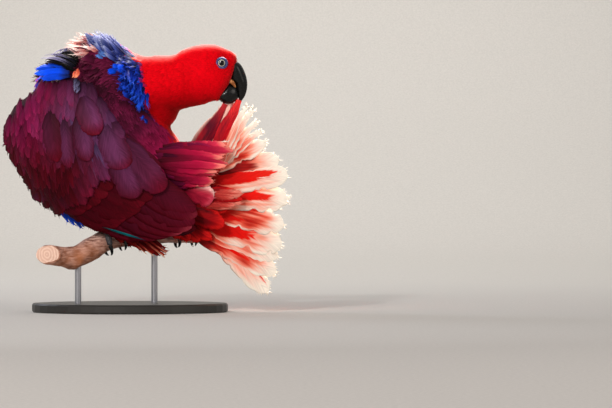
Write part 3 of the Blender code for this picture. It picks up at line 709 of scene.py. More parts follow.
@dataclass(frozen=True)
class Vane:
    """The build of one kind of long feather: its outline, its arch, and how far its barbs have parted."""

    width: float
    tip: Tip = Tip.ROUND
    camber: float = 0.12
    thick: float = 0.34
    lead: float = 0.42
    splits: int = 4
    split_depth: float = 0.14
    fringe: int = 0
    fringe_length: float = 4.0
    stations: int = 30
    columns: int = 11
    fringe_from: float = 0.6

    def outline(self, t: np.ndarray) -> np.ndarray:
        """Returns the width's share at each place along."""
        base = 0.36 + 0.64 * ease(0.0, 0.42, t)
        if self.tip is Tip.ROUND:
            end = np.clip(1 - np.clip((t - 0.64) / 0.361, 0, 1) ** 2.5, 0, 1) ** 0.58
        elif self.tip is Tip.BLUNT:
            end = np.clip(1 - np.clip((t - 0.8) / 0.201, 0, 1) ** 2.3, 0, 1) ** 0.55
        else:
            end = 1 - 0.75 * ease(0.55, 1.02, t)
        return np.maximum(base * end, 0.03)

    def grow(self, pile: FeatherPile, centres: np.ndarray, across: np.ndarray, ups: np.ndarray, paint: Paint,
             root: Row, draw: np.random.Generator) -> None:
        """Adds a feather to a pile.

        Args:
            pile: What it joins.
            centres: Points along its shaft from root to tip, evenly spaced, in millimetres.
            across: The way across it at each point, towards its fore edge.
            ups: The way out of its upper face at each point.
            paint: Gives the colours from places across and along, and the feather's own random number.
            root: Its root's place on the unwrap.
            draw: The seeded random source.
        """
        rest = np.linspace(0.2, 1, (self.columns - 3) // 2)
        columns = np.concatenate([-rest[::-1], (-0.05, 0, 0.05), rest])
        t = 1 - (1 - np.linspace(0, 1, self.stations)) ** 1.35
        place = [np.interp(t, np.linspace(0, 1, len(centres)), centres[:, k]) for k in range(3)]
        line = np.stack(place, axis=1)
        side = unit(np.stack([np.interp(t, np.linspace(0, 1, len(across)), across[:, k]) for k in range(3)], axis=1))
        up = unit(np.stack([np.interp(t, np.linspace(0, 1, len(ups)), ups[:, k]) for k in range(3)], axis=1))
        length = float(np.linalg.norm(np.diff(line, axis=0), axis=1).sum())
        shape = self.outline(t)
        notch = np.ones((self.stations, 2))
        for edge in range(2):
            for _ in range(self.splits):
                at = draw.uniform(0.35, 0.98)
                deep = self.split_depth * draw.uniform(0.4, 1.0)
                notch[:, edge] -= deep * np.clip(1 - np.abs(t - at) / draw.uniform(0.02, 0.05), 0, 1)
        number = draw.uniform()
        wobble = 1 + 0.03 * ripple(t[:, None] * 10 + number * 50, 3.0, int(number * 1000))
        points, places = [], []
        for face in (1, -1):
            for j, x in enumerate(columns):
                edge = 0 if x < 0 else 1
                reach = self.width * (self.lead if x > 0 else 1 - self.lead)
                part = 1 - (1 - np.maximum(notch[:, edge], 0.3)) * float(ease(0.35, 1.0, abs(x)))
                half = x * reach * shape * wobble * part
                arch = -self.camber * self.width * x * x * shape
                shaft = 0.28 * (1 - 0.7 * t) * math.exp(-((x / 0.1) ** 2))
                wall = self.thick * 0.5 * (0.25 if abs(x) == 1 else 1) * (1 - 0.4 * t)
                slip = 0.22 * abs(half)
                row = line + side * half[:, None] + up * (arch + face * (wall + shaft))[:, None]
                row = row - unit(np.gradient(line, axis=0)) * (slip * (1 - t) * 0.4)[:, None]
                points.append(row)
                places.append(np.stack([np.full(self.stations, x), t, half], axis=1))
        points, places = np.array(points), np.array(places)
        n, m = len(columns), self.stations
        index = np.arange(2 * n * m).reshape(2, n, m)
        top, low = index
        quads = [
            np.stack([top[:-1, :-1], top[1:, :-1], top[1:, 1:], top[:-1, 1:]], axis=-1).reshape(-1, 4),
            np.stack([low[:-1, :-1], low[:-1, 1:], low[1:, 1:], low[1:, :-1]], axis=-1).reshape(-1, 4),
            np.stack([top[0, :-1], top[0, 1:], low[0, 1:], low[0, :-1]], axis=-1),
            np.stack([top[-1, :-1], low[-1, :-1], low[-1, 1:], top[-1, 1:]], axis=-1),
            np.stack([top[:-1, 0], low[:-1, 0], low[1:, 0], top[1:, 0]], axis=-1),
            np.stack([top[:-1, -1], top[1:, -1], low[1:, -1], low[:-1, -1]], axis=-1),
        ]
        flat, spot = points.reshape(-1, 3), places.reshape(-1, 3)
        tint = paint(spot[:, 0], spot[:, 1], number)
        barb = np.stack([spot[:, 2], spot[:, 1] * length, np.full(len(spot), number * 40)], axis=1)
        pile.put(flat, np.vstack(quads), tint, barb, spot[:, :2], root)
        self.fray(pile, line, side, up, shape, paint, root, number, draw)

    def fray(self, pile: FeatherPile, line: np.ndarray, side: np.ndarray, up: np.ndarray, shape: np.ndarray,
             paint: Paint, root: Row, number: float, draw: np.random.Generator) -> None:
        """Adds loose barbs along the outer edges and the tip, as narrow closed blades.

        Args:
            pile: What they join.
            line: The shaft's points.
            side: The way across at each point.
            up: The way out at each point.
            shape: The width's share at each point.
            paint: The feather's own colours.
            root: Its root's place on the unwrap.
            number: The feather's own random number.
            draw: The seeded random source.
        """
        ahead = unit(np.gradient(line, axis=0))
        t = np.linspace(0, 1, len(line))
        for _ in range(self.fringe):
            at = 1 - draw.uniform(0, 1) ** 1.4 * (1 - self.fringe_from)
            way = draw.choice((-1.0, 1.0))
            if at > 0.9:
                way *= draw.uniform(0.1, 1)
            pick = [np.array([np.interp(at, t, a[:, k]) for k in range(3)]) for a in (line, side, up, ahead)]
            spot, over, out, fore = pick
            reach = self.width * (self.lead if way > 0 else 1 - self.lead) * np.interp(at, t, shape) * abs(way)
            start = spot + over * np.sign(way) * reach * 0.86 - out * self.camber * self.width * 0.7 * way * way
            lean = math.radians(draw.uniform(12, 40)) * (0.5 + 0.5 * abs(way))
            heading = unit(fore * math.cos(lean) + over * np.sign(way) * math.sin(lean) + out * draw.normal(0, 0.06))
            long = self.fringe_length * draw.uniform(0.5, 1.25)
            flat = unit(np.cross(out, heading))
            share = np.array([0, 0.45, 1.0])
            bend = (over * np.sign(way)) * draw.normal(0, 0.12) * long
            centre = start + heading * long * share[:, None] + bend * (share**2)[:, None]
            broad = np.array([0.44, 0.26, 0.04])[:, None] * draw.uniform(0.7, 1.3)
            ring = np.stack([centre - flat * broad, centre + out * 0.12, centre + flat * broad, centre - out * 0.1])
            points = ring.reshape(-1, 3)
            index = np.arange(12).reshape(4, 3)
            quads = [[index[k, i], index[(k + 1) % 4, i], index[(k + 1) % 4, i + 1], index[k, i + 1]]
                     for k in range(4) for i in range(2)]
            quads += [[index[3, 0], index[2, 0], index[1, 0], index[0, 0]], [index[k, 2] for k in range(4)]]
            along = np.tile(np.clip(at + share * 0.12, 0, 1), 4)
            cross = np.full(12, np.clip(way * 1.05, -1, 1))
            barb = np.tile((0.0, at * 90, number * 40 + draw.uniform(0, 9)), (12, 1))
            pile.put(points, np.array(quads), paint(cross, along, number), barb, np.stack([cross, along], 1), root)


# The bird's form and markings


TRUNK_AXIS = (0.62, 0.0, -0.78)
TRUNK = [
    ((-80, 14, 245), 16, 14), ((-69, 13, 231), 41, 32), ((-46, 11, 201), 59, 45), ((-25, 9, 172), 63, 48),
    ((-6, 7, 151), 58, 46), ((16, 4, 135), 48, 38), ((35, 2, 123), 32, 25), ((48, 0, 112), 15, 12),
]
NECK = [
    ((-32, 13, 219), (0.60, 0.0, 0.80), 49, 38), ((-7, 9, 233), (0.82, 0.0, 0.57), 48, 35),
    ((14, 5, 224), (0.97, 0.0, 0.24), 35, 30), ((31, 2, 226), (0.99, 0.0, 0.10), 31, 26),
    ((45, 0, 229), (1.0, 0.0, 0.0), 29, 23), ((59, -1, 234), (0.99, 0.0, 0.12), 30, 21.5),
    ((72, -2, 237), (1.0, 0.0, 0.06), 30.5, 21.5), ((84, -2, 239), (1.0, 0.0, 0.0), 29, 20),
    ((93, -2, 237.5), (1.0, 0.0, -0.10), 27, 17.5), ((99.5, -2, 238), (1.0, 0.0, -0.24), 22.5, 14),
    ((104.5, -2, 239), (1.0, 0.0, -0.36), 15, 10),
]
THROAT = ((27, 7, 209), (23, 24, 26))
LEGS = {
    "left": {"hip": (-6, -10, 128), "heel": (-34, -9, 90), "grip": -16},
    "right": {"hip": (30, 24, 126), "heel": (52, 22, 99), "grip": 55},
}
TAIL_ROOT = np.array((37.0, -7.0, 117.0))
COAT_DEPTH = 1.4


class Region(Enum):
    """The coats that the body wears."""

    FACE = "face"
    CROWN = "crown"
    HOOD = "hood"
    BAND = "band"
    MANTLE = "mantle"
    BELLY = "belly"
    RUMP = "rump"
    THIGH = "thigh"


class Markings:
    """Where each colour of the plumage lies on the body, from edges named in the frame's millimetres."""

    hood_edge = np.array(
        [(184, 36.5), (187.4, 30), (192, 22.5), (203, 22), (217, 19.6), (231, 18), (239.3, 16), (249, 12.6),
         (257.5, 5), (266, -3.5), (274.4, -10), (282, -23)]
    )
    band_edge = np.array(
        [(184, 36), (192, 21.5), (202, 16), (205, 9), (208.4, 5.6), (216, 2), (222.4, -1.4), (229.5, -3),
         (238, -2), (248, -3), (253.3, -8.4), (261, -15.4), (271, -25.3), (279.3, -36.5)]
    )

    def __init__(self) -> None:
        """Draws the neck's and the trunk's middle lines."""
        neck = drawn([[*c, (h + b) / 2] for c, _, h, b in NECK], 8)[::-1]
        trunk = drawn([[*c, (h + b) / 2] for c, h, b in TRUNK], 8)
        self.lines = [(line, unit(np.gradient(line[:, :3], axis=0))) for line in (neck, trunk)]

    def near(self, points: np.ndarray) -> tuple[list[np.ndarray], list[np.ndarray], list[np.ndarray]]:
        """Finds the nearest place on both middle lines.

        Args:
            points: Points in millimetres.

        Returns:
            For the neck and the trunk: the distance as a share of the line's radius, the line's place from
            0 to 1, and its direction there.
        """
        gaps, places, ways = [], [], []
        for line, ahead in self.lines:
            apart = np.linalg.norm(points[:, None] - line[None, :, :3], axis=2) / line[None, :, 3]
            best = apart.argmin(1)
            gaps.append(apart[np.arange(len(points)), best])
            places.append(best / (len(line) - 1))
            ways.append(ahead[best])
        return gaps, places, ways

    def lie(self, points: np.ndarray) -> np.ndarray:
        """Returns the way that feathers point at each place."""
        gaps, _, ways = self.near(points)
        share = ease(-0.25, 0.25, gaps[0] - gaps[1])[:, None]
        way = ways[0] * (1 - share) + ways[1] * share
        for leg in LEGS.values():
            hip, heel = np.array(leg["hip"], float), np.array(leg["heel"], float)
            down = unit(heel - hip)
            t = np.clip((points - hip) @ down / np.linalg.norm(heel - hip), 0, 1)
            gap = np.linalg.norm(points - (hip + (heel - hip) * t[:, None]), axis=1)
            near = (1 - ease(10, 17, gap))[:, None] * ease(0.35, 0.6, t)[:, None]
            way = way * (1 - near) + down * near
        return unit(way)

    def shares(self, points: np.ndarray) -> dict[str, np.ndarray]:
        """Gives how much each marking rules at each place.

        Args:
            points: Points in millimetres.

        Returns:
            Shares from 0 to 1 by name: red, band, wine, blue, rump and vent, which add up to 1.
        """
        x, y, z = points.T
        gaps, places, _ = self.near(points)
        stray = ripple(points, 9.0, 5) * 1.3
        near = 1 - ease(4, 26, y)
        axis = np.array(TRUNK_AXIS)
        start = np.array(TRUNK[0][0], float)
        down = (points - start) @ axis
        belly_way = unit((-0.70, 0.30, -0.62))
        from_line = points - (start + down[:, None] * axis)
        front = unit(from_line) @ belly_way
        trunk = ease(-0.1, 0.12, gaps[0] - gaps[1])
        hood = np.interp(z, *self.hood_edge.T) * near + (1 - near) * (-30 + 0.35 * (z - 230))
        left = np.interp(z, *self.band_edge.T) * near + (1 - near) * (-44 + 0.35 * (z - 230))
        red = ease(-1.0, 1.0, x - hood + stray) * (1 - trunk * (1 - ease(18, 30, x)))
        bib = ease(0.1, 0.3, front) * (1 - ease(52, 60, down + stray * 3)) * (1 - near)
        red = np.maximum(red, bib)
        band = ease(-1.0, 1.0, x - left + stray) * (1 - red) * (1 - ease(40, 60, down - 50)) * (z > 190)
        blue = ease(-0.05, 0.12, front + stray * 0.02) * (1 - ease(108, 122, down)) * (1 - red - band)
        vent = ease(0.0, 0.25, front) * ease(108, 122, down) * (1 - red - band)
        rump = ease(92, 128, down) * (1 - red - band - vent)
        wine = np.clip(1 - red - band - blue - vent - rump, 0, 1)
        found = {"red": red, "band": band, "wine": wine, "blue": blue, "rump": rump, "vent": vent}
        total = np.maximum(sum(np.clip(v, 0, 1) for v in found.values()), 1e-6)
        return {name: np.clip(v, 0, 1) / total for name, v in found.items()}

    def tint(self, points: np.ndarray, across: np.ndarray, along: np.ndarray, number: np.ndarray) -> np.ndarray:
        """Colours the coat.

        Args:
            points: The feathers' roots in millimetres.
            across: Each vertex's place across its feather, from -1 to 1.
            along: Its place along it, from 0 to 1.
            number: Its feather's own random number.

        Returns:
            Linear colours.
        """
        share = self.shares(points)
        z = points[:, 2]
        t = np.clip(along + (number - 0.5) * 0.25 + 0.1 * np.abs(across), 0, 1)
        high = ease(232, 262, z)[:, None]
        band = ramp([(0, "#04050E"), (0.5, "#071040"), (0.85, "#0E2A90"), (1, "#1A42C0")], t) * (1 - high)
        band += ramp([(0, "#0A0A1C"), (0.5, "#161C50"), (0.85, "#343E84"), (1, "#5C66A0")], t) * high
        # painted shade: the red is darkened under the head and down the throat, where shade falls
        painted_throat_shade = (0.34 * ease(234, 204, z) * ease(92, 64, points[:, 0]) + 0.06 * ease(228, 206, z))[:, None]
        looks = {
            "red": ramp([(0, "#B40006"), (0.5, "#D8000E"), (1, "#E80014")], t) * (1 - painted_throat_shade),
            "band": band,
            "wine": ramp([(0, "#240412"), (0.45, "#420822"), (0.85, "#5E1032"), (1, "#6C1C3C")], t),
            "blue": ramp([(0, "#0A1250"), (0.5, "#1434A0"), (1, "#1C48C8")], t),
            "rump": ramp([(0, "#4A0620"), (0.5, "#860C3C"), (1, "#A01848")], t),
            "vent": ramp([(0, "#3A0206"), (0.5, "#7C040C"), (1, "#A00A10")], t),
        }
        colour = sum(look * share[name][:, None] for name, look in looks.items())
        calm = 1 - 0.75 * share["red"]
        tone = 1 + calm * (0.16 * ripple(points, 16.0, 9) + 0.2 * (number - 0.5))
        return np.clip(colour * tone[:, None], 0, 1)

    def region(self, points: np.ndarray) -> np.ndarray:
        """Returns the Region of each place."""
        share = self.shares(points)
        names = list(share)
        best = np.array(names)[np.stack([share[n] for n in names]).argmax(0)]
        x = points[:, 0]
        table = {
            "band": Region.BAND, "wine": Region.MANTLE, "blue": Region.BELLY, "rump": Region.RUMP,
            "vent": Region.THIGH,
        }
        found = np.array([table.get(name, Region.HOOD) for name in best], dtype=object)
        found[(best == "red") & (x > 58)] = Region.CROWN
        found[(best == "red") & (x > 80)] = Region.FACE
        for leg in LEGS.values():
            hip, heel = np.array(leg["hip"], float), np.array(leg["heel"], float)
            t = np.clip((points - hip) @ (heel - hip) / ((heel - hip) @ (heel - hip)), 0, 1)
            gap = np.linalg.norm(points - (hip + (heel - hip) * t[:, None]), axis=1)
            found[(gap < 16) & (t > 0.4)] = Region.THIGH
        return found


MARKINGS = Markings()


@dataclass
class Skin:
    """The bird's one skin: head, neck, trunk and thighs as a single smooth form inside the coat's tips."""

    voxel: float = 2.1
    rounds: int = 9
    thigh_radii: tuple[float, float, float] = (18, 13, 6.5)
    thing: bpy.types.Object = field(init=False)
    tree: BVHTree = field(init=False)

    def rings(self, rows: Sequence[Row], sides: int = 28) -> np.ndarray:
        """Returns rings from rows of centre, facing, half height and half breadth."""
        found = []
        for row in drawn(rows, 4):
            facing = unit(row[3:6])
            side = unit(np.cross((0, 0, 1), facing))
            up = np.cross(facing, side)
            angle = np.linspace(0, 2 * math.pi, sides, endpoint=False)[:, None]
            found.append(row[:3] + up * row[6] * np.cos(angle) + side * row[7] * np.sin(angle))
        return np.array(found)

    def build(self) -> bpy.types.Object:
        """Returns the skin, remeshed as one surface and drawn in by the coat's depth."""
        forms = [
            loft("trunk_form", self.rings([[*c, *TRUNK_AXIS, h, b] for c, h, b in TRUNK])),
            loft("neck_form", self.rings([[*c, *n, h, b] for c, n, h, b in NECK])),
        ]
        centre, radii = THROAT
        angle = np.linspace(0, math.pi, 16)
        rows = np.array([[*(np.array(centre) + (0, 0, radii[2] * math.cos(a))), 24 * math.sin(a) + 0.2] for a in angle])
        forms.append(loft("throat_form", circle_rings(rows, 24)))
        for side, leg in LEGS.items():
            hip, heel = np.array(leg["hip"], float), np.array(leg["heel"], float)
            knee = mix(hip, heel, 0.55) + (-2, 4, 2)
            places = (hip, knee, heel + unit(hip - heel))
            rows = drawn([[*p, r] for p, r in zip(places, self.thigh_radii)], 5)
            forms.append(loft(f"thigh_form_{side}", circle_rings(rows, 20)))
        made = bmesh.new()
        for form in forms:
            made.from_mesh(form.data)
            bpy.data.objects.remove(form)
        mesh = bpy.data.meshes.new("skin")
        made.to_mesh(mesh)
        made.free()
        skin = bpy.data.objects.new("skin", mesh)
        bpy.context.scene.collection.objects.link(skin)
        even = skin.modifiers.new("even", "REMESH")
        even.mode = "VOXEL"
        even.voxel_size = self.voxel * MM
        soften = skin.modifiers.new("soften", "SMOOTH")
        soften.factor = 0.5
        soften.iterations = self.rounds
        baked(skin)
        draw_in = skin.modifiers.new("draw_in", "DISPLACE")
        draw_in.mid_level = 0
        draw_in.strength = -COAT_DEPTH * MM
        settle_down = skin.modifiers.new("settle_down", "SMOOTH")
        settle_down.factor = 0.4
        settle_down.iterations = 3
        baked(skin)
        skin.data.shade_smooth()
        self.thing = skin
        self.points, self.normals = self.vertices(skin.data)
        points = self.points
        write_point_colour(skin.data, "tint", MARKINGS.tint(points, np.zeros(len(points)), np.full(len(points), 0.25),
                                                            np.full(len(points), 0.5)) * 0.6)
        write_point_vector(skin.data, "barb", points)
        graph = bpy.context.evaluated_depsgraph_get()
        self.tree = BVHTree.FromObject(skin, graph)
        return skin

    @staticmethod
    def vertices(mesh: bpy.types.Mesh) -> tuple[np.ndarray, np.ndarray]:
        """Returns a mesh's points in millimetres and its vertex normals."""
        points = np.zeros(len(mesh.vertices) * 3)
        mesh.vertices.foreach_get("co", points)
        normals = np.zeros(len(mesh.vertices) * 3)
        mesh.vertex_normals.foreach_get("vector", normals)
        return points.reshape(-1, 3) / MM, normals.reshape(-1, 3)

    def facing(self, x: float, z: float, way: float = 1.0) -> tuple[np.ndarray, np.ndarray]:
        """Finds the skin's place at an x and a height.

        Args:
            x: In millimetres.
            z: In millimetres.
            way: 1 for the side towards the camera, -1 for the far side.

        Returns:
            The place, in millimetres, and the normal there.
        """
        place, normal, _, _ = self.tree.ray_cast(Vector((x, -200 * way, z)) * MM, Vector((0, way, 0)))
        if place is None:
            place, normal, _, _ = self.tree.find_nearest(Vector((x, -40 * way, z)) * MM)
        return np.array(place) / MM, np.array(normal)

    def nearest(self, point: Row) -> tuple[np.ndarray, np.ndarray]:
        """Returns the skin's nearest place to a point in millimetres, and the normal there."""
        place, normal, _, _ = self.tree.find_nearest(Vector(point) * MM)
        return np.array(place) / MM, np.array(normal)


def unwrap(points: np.ndarray) -> np.ndarray:
    """Unwraps places on the body: round its middle line, and along it from bill to tail.

    Args:
        points: Places in millimetres.

    Returns:
        Two numbers from 0 to 1 for each.
    """
    gaps, places, _ = MARKINGS.near(points)
    on_trunk = gaps[1] < gaps[0]
    along = np.where(on_trunk, 0.5 + 0.48 * places[1], 0.02 + 0.48 * places[0])
    centres = []
    for which, (line, _) in enumerate(MARKINGS.lines):
        centres.append(line[np.round(places[which] * (len(line) - 1)).astype(int), :3])
    centre = np.where(on_trunk[:, None], centres[1], centres[0])
    out = points - centre
    slope = np.where(on_trunk[:, None], (0.78, 0, 0.62), (0, 0, 1.0))
    round_it = np.arctan2(out[:, 1], (out * slope).sum(1)) / (2 * math.pi) + 0.5
    return np.stack([0.01 + 0.98 * round_it, along], axis=1)


# The coats


class Build(Enum):
    """How a small feather is made."""

    TUFT = "tuft"
    CONTOUR = "contour"
    SCALE = "scale"


@dataclass(frozen=True)
class SmallFeathers:
    """Low closed forms of one kind of small feather, one long along +Y, which Geometry Nodes scatter."""

    build: Build
    count: int = 4
    seed: int = 3

    def blade(self, points: list, faces: list, places: list, start: Row, angle: float, length: float, half: float,
              curl: float, begin: float) -> None:
        """Adds a narrow three-sided blade that tapers to a point."""
        base = len(points)
        way = np.array((math.sin(angle), math.cos(angle), 0.0))
        flat = np.array((way[1], -way[0], 0.0))
        for share, broad in ((0.0, 0.75), (0.5, 1.0)):
            centre = np.array(start, float) + way * length * share
            centre[2] -= curl * (centre[1] ** 2)
            for offset, lift, x in ((-half, 0, -1), (0, half * 0.7, 0), (half, 0, 1)):
                points.append(centre + flat * offset * broad + (0, 0, lift * broad))
                places.append((centre[0] * 3 + 0.3 * x, begin + (1 - begin) * share, 0.0))
        tip = np.array(start, float) + way * length
        tip[2] -= curl * tip[1] ** 2
        points.append(tip)
        places.append((tip[0] * 3, 1.0, 0.0))
        for k in range(3):
            m = (k + 1) % 3
            faces.append((base + k, base + m, base + 3 + m, base + 3 + k))
            faces.append((base + 3 + k, base + 3 + m, base + 6))
        faces.append((base + 2, base + 1, base))

    def vane(self, points: list, faces: list, places: list, half: float, curl: float, blunt: float) -> None:
        """Adds a lens-shaped vane with an arched face."""
        base = len(points)
        stations = ((0.0, 0.42), (0.32, 0.9), (0.66, 1.0), (0.86, blunt))
        for share, broad in stations:
            low = -curl * share * share
            for x, lift in ((-1, -0.03), (0, 0.035), (1, -0.03), (0, -0.02)):
                points.append(np.array((x * half * broad, share, low + lift * (1 if x else 1.0))))
                places.append((float(x), share, 0.0))
        points.append(np.array((0.0, 1.0, -curl)))
        places.append((0.0, 1.0, 0.0))
        for i in range(len(stations) - 1):
            a, b = base + 4 * i, base + 4 * i + 4
            for k in range(4):
                m = (k + 1) % 4
                faces.append((a + k, a + m, b + m, b + k))
        last = base + 4 * (len(stations) - 1)
        for k in range(4):
            faces.append((last + k, last + (k + 1) % 4, base + 4 * len(stations)))
        faces.append((base + 3, base + 2, base + 1, base))

    def gather(self) -> bpy.types.Collection:
        """Returns a hidden collection of the variants."""
        draw = np.random.default_rng(self.seed)
        kept = bpy.data.collections.new(f"{self.build.value}_variants")
        for number in range(self.count):
            points, faces, places = [], [], []
            if self.build is Build.TUFT:
                for k, angle in enumerate((-0.2, 0.0, 0.2)):
                    lean = angle + draw.normal(0, 0.06)
                    start = (angle * 0.35, draw.uniform(0, 0.12), draw.uniform(0, 0.03))
                    self.blade(points, faces, places, start, lean, draw.uniform(0.75, 1.0), 0.075, 0.16, 0.0)
            elif self.build is Build.CONTOUR:
                self.vane(points, faces, places, draw.uniform(0.2, 0.25), 0.15, draw.uniform(0.55, 0.75))
                for angle in (-0.32, 0.04, 0.34):
                    lean = angle + draw.normal(0, 0.07)
                    start = (angle * 0.42, 0.55 + draw.uniform(-0.05, 0.1), 0.03)
                    self.blade(points, faces, places, start, lean, draw.uniform(0.38, 0.52), 0.045, 0.15, 0.5)
            else:
                self.vane(points, faces, places, draw.uniform(0.34, 0.4), 0.2, 0.86)
                for angle in (-0.4, 0.3):
                    start = (angle * 0.6, 0.6, 0.03)
                    self.blade(points, faces, places, start, angle * 0.7, draw.uniform(0.3, 0.42), 0.05, 0.15, 0.55)
            mesh = bpy.data.meshes.new(f"{self.build.value}_{number}")
            mesh.from_pydata([tuple(p) for p in points], [], faces)
            write_point_vector(mesh, "place", np.array(places))
            made = bmesh.new()
            made.from_mesh(mesh)
            bmesh.ops.recalc_face_normals(made, faces=made.faces)
            made.to_mesh(mesh)
            made.free()
            kept.objects.link(bpy.data.objects.new(mesh.name, mesh))
        return kept


def coat_tree() -> bpy.types.GeometryNodeTree:
    """Builds the tree that spreads small feathers over a patch of skin along its lie attribute."""
    tree = bpy.data.node_groups.new("spread_feathers", "GeometryNodeTree")
    face = tree.interface
    face.new_socket("Skin", in_out="INPUT", socket_type="NodeSocketGeometry")
    for name, kind in (
        ("Feathers", "NodeSocketCollection"),
        ("Spacing", "NodeSocketFloat"),
        ("Rise", "NodeSocketFloat"),
        ("Unrest", "NodeSocketFloat"),
        ("Seed", "NodeSocketInt"),
        ("Finish", "NodeSocketMaterial"),
    ):
        face.new_socket(name, in_out="INPUT", socket_type=kind)
    face.new_socket("Coat", in_out="OUTPUT", socket_type="NodeSocketGeometry")
    given = tree.nodes.new("NodeGroupInput")
    inputs = {socket.name: socket for socket in given.outputs if socket.name}

    def named(name: str, kind: str) -> bpy.types.NodeSocket:
        node = add(tree, "GeometryNodeInputNamedAttribute", {"data_type": kind, "Name": name})
        return next(o for o in node.outputs if o.enabled and o.name == "Attribute")

    def math_node(operation: str, a, b) -> bpy.types.NodeSocket:
        node = add(tree, "ShaderNodeMath", {"operation": operation})
        for k, value in enumerate((a, b)):
            if isinstance(value, bpy.types.NodeSocket):
                tree.links.new(value, node.inputs[k])
            else:
                node.inputs[k].default_value = value
        return node.outputs[0]

    def wander(low, high, seed: int) -> bpy.types.NodeSocket:
        node = add(tree, "FunctionNodeRandomValue", {"data_type": "FLOAT"})
        sockets = [s for s in node.inputs if s.enabled]
        for socket, value in zip(sockets[:2], (low, high)):
            if isinstance(value, bpy.types.NodeSocket):
                tree.links.new(value, socket)
            else:
                socket.default_value = value
        tree.links.new(math_node("ADD", inputs["Seed"], seed), sockets[-1])
        return next(o for o in node.outputs if o.enabled)

    square = math_node("MULTIPLY", inputs["Spacing"], inputs["Spacing"])
    spread = add(
        tree,
        "GeometryNodeDistributePointsOnFaces",
        {"distribute_method": "POISSON"},
        {"Mesh": inputs["Skin"], "Distance Min": inputs["Spacing"], "Density Max": math_node("DIVIDE", 3.0, square),
         "Seed": inputs["Seed"]},
    )
    place = add(tree, "GeometryNodeInputPosition")
    flow = spread.outputs["Points"]
    for name, value, kind in (
        ("root", place.outputs[0], "FLOAT_VECTOR"),
        ("up", spread.outputs["Normal"], "FLOAT_VECTOR"),
        ("number", wander(0.0, 1.0, 1), "FLOAT"),
    ):
        store = add(tree, "GeometryNodeStoreNamedAttribute", {"data_type": kind, "domain": "POINT", "Name": name},
                    {"Geometry": flow})
        tree.links.new(value, next(s for s in store.inputs if s.enabled and s.name == "Value"))
        flow = store.outputs["Geometry"]
    aim = add(
        tree,
        "FunctionNodeAxesToRotation",
        {"primary_axis": "Z", "secondary_axis": "Y"},
        {"Primary Axis": spread.outputs["Normal"], "Secondary Axis": named("lie", "FLOAT_VECTOR")},
    )
    down = math_node("MULTIPLY", inputs["Unrest"], -1.0)
    rise = math_node("ADD", math_node("ADD", inputs["Rise"], named("rise", "FLOAT")),
                     wander(math_node("MULTIPLY", down, 0.4), math_node("MULTIPLY", inputs["Unrest"], 0.4), 2))
    turn = add(
        tree,
        "ShaderNodeCombineXYZ",
        links={0: rise, 1: wander(down, inputs["Unrest"], 3), 2: wander(down, inputs["Unrest"], 4)},
    )
    swing = add(tree, "FunctionNodeEulerToRotation", links={0: turn.outputs[0]})
    rotated = add(
        tree,
        "FunctionNodeRotateRotation",
        {"rotation_space": "LOCAL"},
        {0: aim.outputs[0], 1: swing.outputs[0]},
    )
    size = math_node("MULTIPLY", named("size", "FLOAT"), wander(0.82, 1.15, 5))
    kept = add(
        tree,
        "GeometryNodeCollectionInfo",
        {"Separate Children": True, "Reset Children": True},
        {"Collection": inputs["Feathers"]},
    )
    pick = add(tree, "FunctionNodeRandomValue", {"data_type": "INT"})
    sockets = [s for s in pick.inputs if s.enabled]
    sockets[0].default_value, sockets[1].default_value = 0, 99
    tree.links.new(math_node("ADD", inputs["Seed"], 6), sockets[-1])
    planted = add(
        tree,
        "GeometryNodeInstanceOnPoints",
        {"Pick Instance": True},
        {"Points": flow, "Instance": kept.outputs[0], "Rotation": rotated.outputs[0], "Scale": size,
         "Instance Index": next(o for o in pick.outputs if o.enabled)},
    )
    real = add(tree, "GeometryNodeRealizeInstances", links={0: planted.outputs[0]})
    worn = add(tree, "GeometryNodeSetMaterial", links={"Geometry": real.outputs[0], "Material": inputs["Finish"]})
    result = tree.nodes.new("NodeGroupOutput")
    tree.links.new(worn.outputs[0], result.inputs[0])
    return tree


